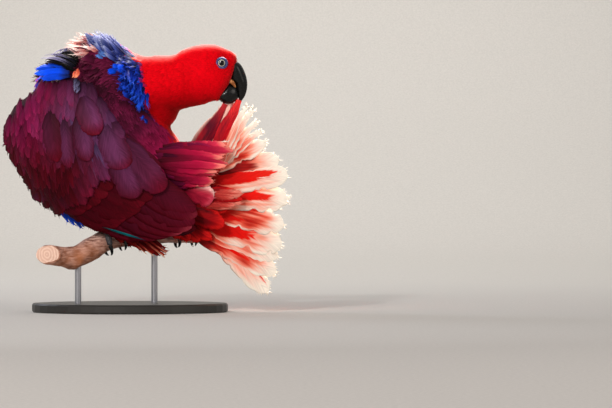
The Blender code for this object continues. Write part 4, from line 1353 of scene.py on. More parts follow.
@dataclass
class Coat:
    """One piece of the coat: small feathers over a patch of skin."""

    name: str
    build: Build
    length: float
    spacing: float
    rise: float = 12.0
    unrest: float = 8.0
    seed: int = 1
    velvet: float = 0.6
    slot: str = "wine_feather"

    def grow(self, points: np.ndarray, faces: np.ndarray, lie: np.ndarray, size: np.ndarray, lift: np.ndarray,
             finish: bpy.types.Material, kinds: dict[Build, bpy.types.Collection], tree: bpy.types.GeometryNodeTree,
             tint: Callable, flat: Callable) -> bpy.types.Object | None:
        """Grows the coat.

        Args:
            points: The patch's vertices in millimetres.
            faces: Its faces' vertex numbers.
            lie: The way that feathers point at each vertex.
            size: Their length there, as a share of the coat's.
            lift: An extra rise there, in degrees.
            finish: The plumage material.
            kinds: The small feathers' variants.
            tree: The tree that spreads them.
            tint: Colours from roots, places across and along, and numbers.
            flat: The unwrap of roots.

        Returns:
            The coat piece, or None where the patch is empty.
        """
        if not len(faces):
            return None
        used, inverse = np.unique(np.concatenate([np.asarray(f) for f in faces]), return_inverse=True)
        spans = np.cumsum([0] + [len(f) for f in faces])
        local = [inverse[a:b].tolist() for a, b in zip(spans[:-1], spans[1:])]
        patch = mesh_from(self.name, points[used], local)
        write_point_vector(patch.data, "lie", lie[used])
        for name, values in (("size", size[used] * self.length * MM), ("rise", np.radians(lift[used]))):
            data = patch.data.attributes.new(name, "FLOAT", "POINT")
            data.data.foreach_set("value", values.astype(np.float32))
        spread = patch.modifiers.new("spread", "NODES")
        spread.node_group = tree
        keys = {s.name: s.identifier for s in tree.interface.items_tree if s.in_out == "INPUT"}
        spread[keys["Feathers"]] = kinds[self.build]
        spread[keys["Spacing"]] = self.spacing * MM
        spread[keys["Rise"]] = math.radians(self.rise)
        spread[keys["Unrest"]] = math.radians(self.unrest)
        spread[keys["Seed"]] = self.seed
        spread[keys["Finish"]] = finish
        baked(patch)
        mesh = patch.data
        roots = read_point(mesh, "root", 3) / MM
        place = read_point(mesh, "place", 3)
        number = read_point(mesh, "number", 1)[:, 0]
        ups = read_point(mesh, "up", 3)
        for name in [a.name for a in mesh.attributes if a.name in ("root", "place", "number", "up", "lie", "size", "rise")]:
            mesh.attributes.remove(mesh.attributes[name])
        write_point_colour(mesh, "tint", tint(roots, place[:, 0], place[:, 1], number))
        barb = np.stack([place[:, 0] * self.length * 0.25, place[:, 1] * self.length, number * 60], axis=1)
        write_point_vector(mesh, "barb", barb)
        write_bake_map(mesh, np.clip(flat(roots), 0, 1), np.stack([np.clip(place[:, 0], -1, 1), place[:, 1]], axis=1))
        self.soften(mesh, unit(ups))
        return patch

    def soften(self, mesh: bpy.types.Mesh, ups: np.ndarray) -> None:
        """Leans the upper faces' normals towards the skin's, so that the coat shades as one velvet surface."""
        corner = np.zeros(len(mesh.loops), np.int32)
        mesh.loops.foreach_get("vertex_index", corner)
        own = np.zeros(len(mesh.loops) * 3, np.float32)
        mesh.corner_normals.foreach_get("vector", own)
        own = own.reshape(-1, 3)
        starts = np.zeros(len(mesh.polygons), np.int32)
        mesh.polygons.foreach_get("loop_start", starts)
        flat = np.zeros(len(mesh.polygons) * 3, np.float32)
        mesh.polygons.foreach_get("normal", flat)
        total = np.zeros(len(mesh.polygons), np.int32)
        mesh.polygons.foreach_get("loop_total", total)
        flat = np.repeat(flat.reshape(-1, 3), total, axis=0)
        up = ups[corner]
        seen = ease(0.0, 0.35, (flat * up).sum(1))[:, None] * self.velvet
        mesh.normals_split_custom_set(unit(own * (1 - seen) + up * seen))


# The wings


class Sheet:
    """A wing's curved sheet, which turns places along and across it into points in space."""

    def __init__(self, origin: Row, along: Row, out: Row) -> None:
        """Takes its highest point, the way along it and the way out of it."""
        self.origin = np.array(origin, float)
        self.out = unit(out)
        way = np.array(along, float)
        self.along = unit(way - self.out * (way @ self.out))
        self.across = toward(np.cross(self.along, self.out), (0, 0, 1))

    def flat(self, l: np.ndarray, s: np.ndarray) -> np.ndarray:
        """Returns the sheet's points at l along and s across."""
        l, s = np.asarray(l, float), np.asarray(s, float)
        reach = np.where(l > 0, 175.0, 98.0)
        side = 86 + 26 * ease(-20, 70, l)
        fall = np.sqrt(np.maximum(0.05, 1 - (l / reach) ** 2 - (s / side) ** 2))
        drop = 56 * (1 - fall)
        return self.origin + self.along * l[..., None] + self.across * s[..., None] - self.out * drop[..., None]

    def normal(self, l: np.ndarray, s: np.ndarray) -> np.ndarray:
        """Returns the sheet's normals."""
        l, s = np.asarray(l, float), np.asarray(s, float)
        along = self.flat(l + 0.5, s) - self.flat(l - 0.5, s)
        across = self.flat(l, s + 0.5) - self.flat(l, s - 0.5)
        return toward(np.cross(along, across), self.out)

    def at(self, l: np.ndarray, s: np.ndarray, lift: np.ndarray | float = 0.0) -> np.ndarray:
        """Returns points lifted off the sheet."""
        lift = np.broadcast_to(np.asarray(lift, float), np.shape(l))
        return self.flat(l, s) + self.normal(l, s) * lift[..., None]


@dataclass(frozen=True)
class FeatherRow:
    """A row of wing feathers on the sheet, from its first root and tip to its last, in millimetres."""

    name: str
    count: int
    roots: tuple[Row, ...]
    tips: tuple[Row, ...]
    vane: Vane
    lifts: tuple[float, float]
    slope: float
    bow: float = 0.0
    tone: str = "wine"


ARM_OUTLINE = [
    (-78, 24), (-86, -4), (-93, -21), (-89, -34), (-81, -47), (-69, -58), (-55, -66), (-38, -73), (-20, -80.5),
    (-4, -81.5), (9, -81), (12, -69), (22, -58), (38, -51), (43, -36), (36, -14), (28, 8), (14, 20), (-4, 30),
    (-38, 44), (-60, 37),
]
HAND_OUTLINE = [
    (9.6, -81), (22, -76.5), (38, -70.5), (52, -65), (64, -60), (62, -51), (46, -48), (38.4, -51.6), (22.5, -58.7),
    (12.6, -69.5),
]


@dataclass
class Wing:
    """One folded wing: a thin core, its flight feathers, tiers of coverts and the long shoulder feathers."""

    side: str
    origin: Row
    along: Row
    out: Row
    seed: int
    rows: tuple[FeatherRow, ...] = (
        FeatherRow("primary", 8, ((20, -71), (54, -56)), ((90, -49), (131, -17)), Vane(17, camber=0.05), (-6.6, -6.2),
                   0.1, -3, "primary"),
        FeatherRow("secondary", 8, ((8, -60), (10, 8)),
                   ((98, -46), (112, -38), (123, -28), (127, -18), (126, -9), (120, -2)),
                   Vane(29, camber=0.04, splits=2, stations=48, columns=15), (-2.8, -1.6), 0.05, -6, "dark"),
        FeatherRow("greater_covert", 9, ((-8, -68), (0, 14)), ((66, -55), (74, -36), (78, -14), (70, 6)),
                   Vane(30, camber=0.04, splits=2, stations=40), (-1.5, -0.5), 0.03, -2, "low"),
        FeatherRow("median_covert", 9, ((-30, -70), (-24, 24)), ((30, -66), (40, -44), (44, -18), (34, 4)),
                   Vane(26, camber=0.05, splits=3), (-1.0, 0.3), 0.03, 0, "low"),
    )
    shoulder: tuple[tuple[Row, Row, float], ...] = (
        ((-40, 2), (-6, -38), 19), ((-14, 0), (24, -37), 19), ((-56, 0), (-19, -40), 20), ((14, 15), (83, -3), 27),
        ((10, 8), (65, -24.5), 26), ((-6, 22), (40, -7), 28), ((-30, 14), (6, -22), 20), ((-36, 28), (-1, 4), 24),
    )

    def __post_init__(self) -> None:
        """Sets the sheet and the seeded random source."""
        self.sheet = Sheet(self.origin, self.along, self.out)
        self.draw = np.random.default_rng(self.seed)

    def tone(self, l: np.ndarray, s: np.ndarray) -> np.ndarray:
        """Returns how much painted grey-purple sheen, a painted reflection, lies on the upper feathers at each place,
        from 0 to 1.
        """
        high = ease(-38, 18, s) * ease(-92, -40, l) * (1 - ease(52, 100, l))
        return np.clip(0.85 * high + 0.12 * ripple(np.stack([l, s], -1), 30.0, 4), 0, 1)

    def paint(self, tone: str, l: float, s: float) -> Paint:
        """Returns the painter of one feather rooted at l, s."""

        def colours(x: np.ndarray, t: np.ndarray, number: float) -> np.ndarray:
            edge = np.abs(x) ** 2
            at = np.clip(t * 0.9 + (number - 0.5) * 0.2, 0, 1)
            deep = ramp([(0, "#1C0006"), (0.5, "#40000C"), (0.85, "#540210"), (1, "#660618")], at)
            # painted_violet_sheen: the grey-purple of a painted reflection, laid over the feathers' own wine red
            painted_violet_sheen = ramp([(0, "#240A20"), (0.4, "#5A284C"), (0.7, "#662E54"), (0.92, "#6A183E"), (1, "#680E30")], at)
            if tone == "primary":
                blue = ramp([(0, "#200812"), (0.3, "#200812"), (0.4, "#0E5A58"), (0.62, "#0E4A78"), (0.7, "#20101C"),
                             (1, "#30060F")], t)
                lead = ease(-0.55, -0.9, x)[:, None]
                return deep * (1 - lead) + blue * lead
            if tone == "dark":
                mixed = deep * 0.92 + painted_violet_sheen * (0.1 * (1 - edge))[:, None]
                # glow: a painted highlight on the tips of some secondaries
                glow = (ease(0.9, 1.0, t) * ease(0.2, 0.8, number))[:, None]
                return mixed * (1 - glow) + linear("#8A2A38") * glow
            # share: how much painted reflection lies over the wine red, most on the upper feathers, least on the low
            # rows and at the tips
            share = self.tone(np.full_like(t, l + 10.0), np.full_like(t, s - 8.0)) + 0.3 * (number - 0.5)
            share = share * (0.75 + 0.4 * np.sin(1.6 * x + 6.3 * number)) * (1 - 0.6 * ease(0.7, 1.0, t))
            share = np.clip(share * (0.3 if tone == "low" else 1.15), 0, 1) * (1 - 0.5 * edge)
            found = deep * (0.85 if tone == "low" else 1.0) * (1 - share[:, None]) + painted_violet_sheen * share[:, None]
            silk = 1 + 0.16 * ripple(np.stack([x * 9 + number * 60, t * 2], -1), 1.6, 11)
            rim = 0.35 * ease(0.9, 1.0, np.abs(x)) * ease(0.3, 0.6, t)
            return found * (silk - 0.3 * edge * ease(0.35, 0.9, t) + rim)[:, None]

        return colours

    def place(self, pile: FeatherPile, root: Row, tip: Row, vane: Vane, lifts: Row, slope: float, bow: float,
              painter: Paint) -> None:
        """Adds one feather that follows the sheet from root to tip."""
        root, tip = np.array(root, float), np.array(tip, float)
        run = tip - root
        over = toward((-run[1], run[0]), (0, 1))
        t = np.linspace(0, 1, 14)
        spots = root + run * t[:, None] + over * (bow * 4 * t * (1 - t))[:, None]
        lift = mix(lifts[0], lifts[1], 1 - (1 - t) ** 3)
        half = vane.width / 2
        centre = self.sheet.at(spots[:, 0], spots[:, 1], lift)
        low, high = spots - over * half, spots + over * half
        edge_a = self.sheet.at(low[:, 0], low[:, 1], lift + half * slope)
        edge_b = self.sheet.at(high[:, 0], high[:, 1], lift - half * slope)
        across = unit(edge_b - edge_a)
        sag = (edge_a + edge_b) / 2
        ahead = unit(np.gradient(centre, axis=0))
        up = toward(np.cross(ahead, across), self.sheet.normal(spots[:, 0], spots[:, 1]))
        vane.grow(pile, centre * 0.6 + sag * 0.4, across, up, painter,
                  ((root[0] + 100) / 260, (root[1] + 100) / 200), self.draw)

    def core(self) -> bpy.types.Object:
        """Returns the wing's thin flesh, arm and hand, closed."""
        made = bmesh.new()
        for outline, high, low in ((ARM_OUTLINE, -1.2, -12.0), (HAND_OUTLINE, -5.8, -9.4)):
            outline = np.array(outline, float)
            middle = outline.mean(0)
            rows = []
            for share, level in ((0.04, high), (0.35, high), (0.7, high), (0.96, high - 0.8), (0.985, (high + low) / 2),
                                 (0.96, low + 0.8), (0.7, low), (0.35, low), (0.04, low)):
                spots = middle + (outline - middle) * share
                rows.append(self.sheet.at(spots[:, 0], spots[:, 1], level))
            plate = loft(f"plate_{self.side}", np.array(rows))
            made.from_mesh(plate.data)
            bpy.data.objects.remove(plate)
        mesh = bpy.data.meshes.new(f"wing_{self.side}_core")
        made.to_mesh(mesh)
        made.free()
        thing = bpy.data.objects.new(mesh.name, mesh)
        bpy.context.scene.collection.objects.link(thing)
        mesh.shade_smooth()
        count = len(mesh.vertices)
        write_point_colour(mesh, "tint", np.tile(linear("#2A0512"), (count, 1)))
        write_point_vector(mesh, "barb", Skin.vertices(mesh)[0])
        return thing

    def flights(self) -> bpy.types.Object:
        """Returns the primaries and secondaries."""
        pile = FeatherPile()
        for row in self.rows[:2]:
            self.fill(pile, row)
        return pile.made(f"wing_{self.side}_flight_feathers")

    def coverts(self) -> bpy.types.Object:
        """Returns the greater and median coverts and the long shoulder feathers."""
        pile = FeatherPile()
        for row in self.rows[2:]:
            self.fill(pile, row)
        for k, (root, tip, width) in enumerate(self.shoulder):
            kind = Tip.BLUNT if k in (3, 4, 5) else Tip.ROUND
            vane = Vane(width, kind, 0.045, 0.34, 0.42, 5, 0.14, 3, 2.0, 44, 15)
            self.place(pile, root, tip, vane, (0.6, 2.0 + 0.3 * k), 0.02, 0, self.paint("wine", *root))
        sliver = Vane(2.6, Tip.LOOSE, camber=0.02, splits=0, stations=24)
        self.place(pile, (53, -68.0), (96, -54.6), sliver, (1.4, 1.0), 0.0, 0, self.sliver_paint)
        return pile.made(f"wing_{self.side}_coverts")

    @staticmethod
    def sliver_paint(x: np.ndarray, t: np.ndarray, number: float) -> np.ndarray:
        """Returns the blue-green of the one primary edge that shows under the wing."""
        shine = ramp([(0, "#280410"), (0.2, "#0A464C"), (0.6, "#0C666C"), (0.85, "#0A3E50"), (1, "#280410")], t)
        return shine * (0.8 + 0.2 * x[:, None])

    def fill(self, pile: FeatherPile, row: FeatherRow) -> None:
        """Adds a whole row to a pile."""
        for k in range(row.count):
            share = k / (row.count - 1)
            root, tip = (
                np.array([np.interp(share, np.linspace(0, 1, len(spots)), column) for column in zip(*spots)])
                + self.draw.normal(0, 0.8, 2) for spots in (row.roots, row.tips)
            )
            self.place(pile, root, tip, row.vane, row.lifts, row.slope, row.bow, self.paint(row.tone, *root))

    def bearing(self, l: float, s: float) -> np.ndarray:
        """Returns the way small feathers point at a place on the sheet, from bearings read off its own regions."""
        marks = np.array([
            (-75, -40, 60), (-27, -31, 50), (-61, 18, 60), (-23, 33, 45), (17, -25, 37), (50, -2, 25), (13, 33, 10),
            (1, -72, 20), (-35, -73, 40), (62, -54, -5), (98, -35, -13),
        ], float)
        weight = 1 / ((l - marks[:, 0]) ** 2 + (s - marks[:, 1]) ** 2 + 40) ** 1.3
        angle = math.radians((weight * marks[:, 2]).sum() / weight.sum())
        return np.array((math.cos(angle), -math.sin(angle)))

    def small_paint(self, l: float, s: float) -> Paint:
        """Returns the painter of one small covert."""

        def colours(x: np.ndarray, t: np.ndarray, number: float) -> np.ndarray:
            at = np.clip(t + (number - 0.5) * 0.2, 0, 1)
            low = 1 - 0.35 * float(ease(-20, -60, s))
            deep = ramp([(0, "#240006"), (0.5, "#46020E"), (0.85, "#580416"), (1, "#68081E")], at) * low
            painted_violet_sheen = ramp([(0, "#2A0E24"), (0.5, "#4E2446"), (0.85, "#5E2C54"), (1, "#642048")], at)
            rose = ramp([(0, "#380420"), (0.5, "#720E42"), (0.85, "#86144A"), (1, "#961E54")], at)
            slate = ramp([(0, "#181420"), (0.5, "#343250"), (1, "#443C5C")], at)
            silk = 1 + 0.16 * ripple(np.stack([x * 6 + number * 60, t * 2], -1), 1.6, 11)
            # share: how much painted grey-purple reflection lies over the wine red of this covert
            share = self.tone(np.array([l]), np.array([s]))[0]
            share = np.clip(share + (number - 0.5) * (0.1 + 0.4 * share), 0, 1)
            found = deep * (1 - share) + painted_violet_sheen * share
            left = float(ease(-45, -85, l)) * float(ease(-55, -15, s)) * (0.4 + 0.6 * number)
            found = found * (1 - left) + rose * left
            grey = 0.5 * (1 - left) * float(ease(0.88, 0.92, number)) * float(ease(-30, 0, s))
            found = found * (1 - grey) + slate * grey
            return found * (silk - 0.34 * x**2 * ease(0.3, 0.9, t))[:, None]

        return colours

    def small_coverts(self) -> bpy.types.Object:
        """Returns the small coverts of the upper wing, laid like tiles along their bearings."""
        pile = FeatherPile()
        outline = np.array(ARM_OUTLINE, float)
        nxt = np.roll(outline, -1, axis=0)
        slope = (nxt[:, 0] - outline[:, 0]) / (nxt[:, 1] - outline[:, 1] + 1e-9)

        def inside(spot: np.ndarray) -> bool:
            cross = (outline[:, 1] > spot[1]) != (nxt[:, 1] > spot[1])
            return bool((cross & (spot[0] < slope * (spot[1] - outline[:, 1]) + outline[:, 0])).sum() % 2)

        for i, l in enumerate(np.arange(-93, 6, 6.2)):
            for s in np.arange(-80, 46, 6.6):
                spot = np.array((l, s + 3.3 * (i % 2))) + self.draw.normal(0, 1.4, 2)
                if not inside(spot):
                    continue
                grown = float(ease(-92, -40, spot[0]))
                way = unit(self.bearing(*spot) + self.draw.normal(0, 0.06, 2))
                long = (21 + 13 * grown) * self.draw.uniform(0.85, 1.2)
                while long > 12 and (spot[0] < 0 or spot[1] < -40) and not inside(spot + way * (long - 4)):
                    long -= 1.5
                tip_kind = Tip.LOOSE if self.draw.uniform() < 0.3 else Tip.ROUND
                vane = Vane((10 + 4.5 * grown) * self.draw.uniform(0.85, 1.2), tip_kind, 0.06, 0.22, 0.46, 4, 0.24,
                            7, 3.4, 14, 9, 0.62)
                tip = spot + way * long
                lift = -0.4 + 1.6 * float(ease(-40, 10, spot[0]))
                self.place(pile, spot, tip, vane, (lift, lift + 1.5), 0.02, self.draw.normal(0, 0.6),
                           self.small_paint(*spot))
        return pile.made(f"wing_{self.side}_small_coverts")

    def build(self, finish: bpy.types.Material) -> None:
        """Builds the wing and hands its pieces to the frame."""
        settle(self.core(), finish, "wine_feather", f"wing_{self.side}_arm", f"wing_{self.side}_hand")
        settle(self.flights(), finish, "wine_feather")
        settle(self.coverts(), finish, "wine_feather")
        settle(self.small_coverts(), finish, "wine_feather")


# The tail


@dataclass(frozen=True)
class TailFeather:
    """One feather of the fan: its root and tip in x and z, its width, and how its colours run.

    The dark root ends at cut and the bright stripe at far, as shares of the length. The stripe's middle is at
    aside, from -1 at the lower edge to 1 at the upper one, and broad is half its breadth on that scale.
    The dark root is painted shade where the feathers overlap, over their own darker base, and depth sets how
    dark it is. Past the cut, the pale cream is partly the feathers' own pale tips and partly painted glow of
    light through them from behind.
    """

    root: Row
    tip: Row
    width: float
    cut: float
    far: float
    aside: float
    broad: float
    warmth: float
    depth: float
    fringe: int = 14
    kind: Tip = Tip.BLUNT

    def paint(self, x: np.ndarray, t: np.ndarray, number: float) -> np.ndarray:
        """Colours the feather.

        Args:
            x: Places across, from -1 to 1.
            t: Places along, from 0 to 1.
            number: The feather's own random number.

        Returns:
            Linear colours, with the bright stripe's share as a fourth column.
        """
        side = np.abs(x)
        slant = t - 0.12 * side
        streak = ripple(np.stack([x * 9 + number * 60, slant * 5], -1), 1.6, 7)
        # body: the dark root up to cut, painted shade where the feathers overlap, over the feather's own darker base
        body = 1 - ease(self.cut - 0.04, self.cut + 0.03, t + 0.03 * streak)
        reach = self.broad * (1 - 0.5 * ease(self.cut, self.far, t))
        stripe = 1 - ease(-0.2, 0.16, np.abs(x - self.aside) - reach - 0.1 * streak)
        stripe = stripe * (1 - ease(self.far - 0.2, self.far + 0.03, slant + 0.06 * streak))
        # warm and pale: past the cut, orange-red in the middle fading to cream at the edges and tip, partly the
        # feather's own pale tip and partly painted glow of light through it from behind
        warm = self.warmth * (1 - 0.8 * ease(0.5, 1.0, side)) * (1 - ease(0.74, 0.98, t))
        warm = warm + 0.34 * streak * self.warmth * (1 - ease(0.8, 1.0, t)) + 0.3 * ease(self.cut + 0.22, self.cut, t)
        pale = ramp([(0, "#F4E8D8"), (0.25, "#F4CAB8"), (0.5, "#F09078"), (0.75, "#DC4C38"), (1, "#B01810")],
                    np.clip(warm, 0, 1))
        # line: a painted shadow line along the lower edge, where the feather meets the one below
        line = (ease(-0.88, -0.98, x) * ease(0.3, 0.5, t) * ease(0.86, 0.6, t) * (0.3 + 0.5 * self.depth))[:, None]
        pale = pale * (1 - line) + linear("#6E1A14") * line
        along = np.clip(t / self.cut, 0, 1)
        dark = ramp([(0, "#180104"), (0.6, "#3A0408"), (1, "#7A0C10")], along)
        bright = ramp([(0, "#2A0206"), (0.6, "#8A0A0C"), (1, "#D02418")], along)
        # root: the root's painted shade, darker as depth grows
        root = (dark * self.depth + bright * (1 - self.depth)) * (1 + 0.3 * streak)[:, None]
        found = pale * (1 - body)[:, None] + root * body[:, None]
        share = stripe * ease(self.cut * 0.7, self.cut, t) * (1 - self.depth * body)
        return np.concatenate([np.clip(found, 0, 1), share[:, None]], axis=1)


@dataclass
class Tail:
    """The spread tail: a fan of backlit feathers, red at the root and cream at their frayed tips, with painted shade
    where they overlap and a painted glow of light from behind in the cream.
    """

    feathers: tuple[TailFeather, ...] = (
        TailFeather((70, 92), (138, 20), 23, 0.52, 0.97, 0.5, 0.24, 0.35, 0.8, 34),
        TailFeather((62, 88), (145, 38), 25, 0.47, 0.9, -0.1, 0.2, 0.7, 0.8, 20),
        TailFeather((60, 92), (147, 54), 25, 0.46, 0.84, 0.35, 0.42, 0.5, 0.6, 12),
        TailFeather((62, 98), (151, 65), 31, 0.4, 0.8, 0.1, 0.8, 0.5, 0.3, 18),
        TailFeather((61, 109), (153.5, 86), 27, 0.42, 0.7, -0.3, 0.35, 0.85, 0.4, 16),
        TailFeather((60, 120), (157.5, 112), 29, 0.5, 0.95, 0.1, 0.46, 0.5, 0.3, 28),
        TailFeather((62, 139), (149, 153), 23, 0.77, 0.7, 0.0, 0.3, 0.25, 0.7, 8),
        TailFeather((60, 125), (157.5, 138), 26, 0.42, 0.97, 0.2, 0.52, 0.4, 0.3, 8),
        TailFeather((62, 138), (136, 170), 22, 0.45, 0.86, 0.3, 0.36, 0.8, 0.3, 18, Tip.ROUND),
        TailFeather((66, 136), (131, 181), 19, 0.45, 0.78, -0.2, 0.34, 0.8, 0.3, 18, Tip.LOOSE),
        TailFeather((70, 134), (127, 190), 18, 0.45, 0.82, 0.2, 0.34, 0.6, 0.3, 22, Tip.LOOSE),
        TailFeather((72, 132), (123, 202), 18, 0.45, 0.72, 0.0, 0.3, 0.5, 0.2, 26, Tip.LOOSE),
        TailFeather((73, 130), (117, 205), 15, 0.45, 0.7, 0.0, 0.4, 0.5, 0.2, 22, Tip.LOOSE),
    )
    held: tuple[tuple[Row, Row, float], ...] = (
        ((52, 117), (102, 210), 30), ((48, 120), (95.5, 208), 25), ((64, 112), (109.4, 212), 23),
    )
    base: tuple[tuple, ...] = (
        ((46, 126), (84, 113), (-14, -16.6), 22, "rosy"), ((40, 106), (95, 87), (-12, -15.5), 21, "red"),
        ((38, 100), (82, 73), (-7, -8), 15, "red"), ((36, 98), (70, 71), (-6, -7.2), 14, "red"),
        ((34, 97), (60, 72), (-6, -8.4), 13, "red"), ((32, 96), (50, 74), (-6, -9), 12, "red"),
        ((44, 104), (90, 96), (-9, -11), 17, "red"), ((46, 112), (98, 103), (-8, -10.5), 17, "red"),
    )
    vein: tuple[tuple[float, str], ...] = (
        (0.0, "#2A0206"), (0.3, "#6A0408"), (0.45, "#BC0A08"), (0.65, "#DC1008"), (0.85, "#E02818"), (1.0, "#E84C34"),
    )

    @staticmethod
    def held_paint(which: int) -> Paint:
        """Returns the painter of a feather held in the bill: pale behind, wine on the left, scarlet on the right."""

        def colours(x: np.ndarray, t: np.ndarray, number: float) -> np.ndarray:
            streak = ripple(np.stack([x * 8 + number * 60, t * 3], -1), 1.5, 7)
            dark = ramp([(0, "#200205"), (0.45, "#3A0412"), (0.75, "#56081C"), (1, "#9C2028")], t)
            bright = ramp([(0, "#3A0206"), (0.45, "#8E0614"), (0.75, "#C4101C"), (1, "#E83430")], t)
            share = np.clip((0.6, 0.05, 0.65)[which] + 0.5 * streak, 0, 1)[:, None]
            found = dark * (1 - share) + bright * share
            # rim: pale edges, and on the first feather a pale tip, partly the feathers' own pale colour and partly
            # painted glow of light through them from behind
            rim = ease(0.74, 0.98, np.abs(x)) * ease(0.4, 0.7, t) * ((0.3, 0.9, 0.0)[which] if which else 1)
            rim = np.maximum(rim, ease(0.35, 0.9, t + 0.3 * streak) * 0.9 * (which == 0))
            return found * (1 - rim[:, None]) + linear("#EEC0B0") * rim[:, None]

        return colours

    @staticmethod
    def base_paint(look: str) -> Paint:
        """Returns the painter of a short feather at the base: red, rosy or pale."""

        def colours(x: np.ndarray, t: np.ndarray, number: float) -> np.ndarray:
            streak = ripple(np.stack([x * 6 + number * 60, t * 2], -1), 1.5, 7)
            at = np.clip(t + (number - 0.5) * 0.15 + 0.1 * np.abs(x) + 0.16 * streak, 0, 1)
            if look == "rosy":
                found = ramp([(0, "#30040E"), (0.5, "#7E0A24"), (0.85, "#B02038"), (1, "#C43C50")], at)
                # edge: a painted highlight, the pale upper edge where the light from behind catches the feather
                edge = (ease(0.35, 0.95, x) * ease(0.35, 0.6, t))[:, None]
                return found * (1 - edge) + linear("#E8B4AC") * edge
            red = ramp([(0, "#160103"), (0.55, "#4E0208"), (0.8, "#92050C"), (1, "#C01412")], at)
            pale = ramp([(0, "#3A0408"), (0.4, "#8A1418"), (0.8, "#BC3C34"), (1, "#DC7868")], at)
            return red if look == "red" else pale

        return colours

    def span(self, pile: FeatherPile, start: Row, end: Row, bulge: float, vane: Vane, paint: Paint, root: Row,
             draw: np.random.Generator, tilt: float = 0.0, sweep: Row = (0, 0, 0)) -> None:
        """Adds a feather from start to end, bowed to the front and by a sweep, and leaning by a tilt in degrees."""
        start, end, front = np.array(start, float), np.array(end, float), np.array((0, -1.0, 0))
        t = np.linspace(0, 1, 16)[:, None]
        arc = (1 - t) ** 2 * t * 6.75
        centre = start + (end - start) * t + front * bulge * 4 * t * (1 - t) + np.array(sweep, float) * arc
        run = unit(np.gradient(centre, axis=0))
        over = unit(toward(np.cross(front, run), (0, 0, 1)) + front * math.tan(math.radians(tilt)))
        vane.grow(pile, centre, over, toward(np.cross(run, over), front), paint, root, draw)

    def build(self, finish: bpy.types.Material, red: bpy.types.Material) -> None:
        """Builds the tail and hands its pieces to the frame."""
        draw = np.random.default_rng(31)
        pile = FeatherPile()
        for k, feather in enumerate(self.feathers):
            (root_x, root_z), (x, z) = feather.root, feather.tip
            tip = np.array((x, 0.5 + 0.95 * (8 - k), z))
            root = np.array((root_x, 0.5 * (8 - k) - 4, root_z))
            start = mix(TAIL_ROOT + (0, 0.5 * (8 - k), 0), root, 0.3)
            along = (root - start) @ unit(tip - start)
            sweep = (root - start - unit(tip - start) * along) * 0.9
            vane = Vane(feather.width, feather.kind, 0.05, 0.4, 0.5, 6, 0.22, feather.fringe, 4.4, 80, 21, 0.86)
            self.span(pile, start, tip, 1.5, vane, feather.paint, (0.1 + 0.06 * k, 0.2), draw, -3, sweep)
        settle(pile.made("tail_feathers"), finish, "red_feather", "tail")
        pile = FeatherPile()
        for k, ((root_x, root_z), (x, z), width) in enumerate(self.held):
            vane = Vane(width, Tip.LOOSE, 0.08, 0.4, 0.5, 5, 0.12, 5, 5.0, 60, 15, 0.8)
            self.span(pile, (root_x, -6, root_z), (x, -1.6 - 0.9 * k, z), 1.5, vane, self.held_paint(k),
                      (0.9 + 0.03 * k, 0.2), draw, -2)
        for k, ((x, z), (tip_x, tip_z), (y, tip_y), width, look) in enumerate(self.base):
            tip_kind = Tip.BLUNT if look == "rosy" else Tip.ROUND
            vane = Vane(width, tip_kind, 0.1, 0.34, 0.5, 5, 0.16, 9, 3.0)
            self.span(pile, (x, y, z), (tip_x, tip_y, tip_z), 1, vane, self.base_paint(look), (0.1 + 0.08 * k, 0.6),
                      draw, 4)
        for k in range(10):
            share = k / 9
            tip = (mix(104, 110, math.sin(3 * share)) + draw.normal(0, 2), -12.6 - draw.uniform(0, 1.5), 122 - 17 * share)
            vane = Vane(draw.uniform(7, 10), Tip.ROUND, 0.1, 0.3, 0.5, 4, 0.2, 5, 3.0, 24, 9)
            look = "pale" if draw.uniform() < 0.5 else "red"
            self.span(pile, (48, -11, 125 - 14 * share), tip, 1, vane, self.base_paint(look), (0.9, 0.3 + 0.3 * share),
                      draw, draw.normal(0, 8))
        settle(pile.made("tail_red_feathers"), red, "red_feather")


# The ruff, the coverts over the tail and the flank


@dataclass(frozen=True)
class PlumeRow:
    """A row of single plumes on the skin: where its roots run, where they point, and how far they rise."""

    count: int
    first: Row
    last: Row
    heading: Row
    length: tuple[float, float]
    width: float
    rise: tuple[float, float]
    look: str
    tip: Tip = Tip.LOOSE
    scatter: float = 2.0
    fringe: int = 14


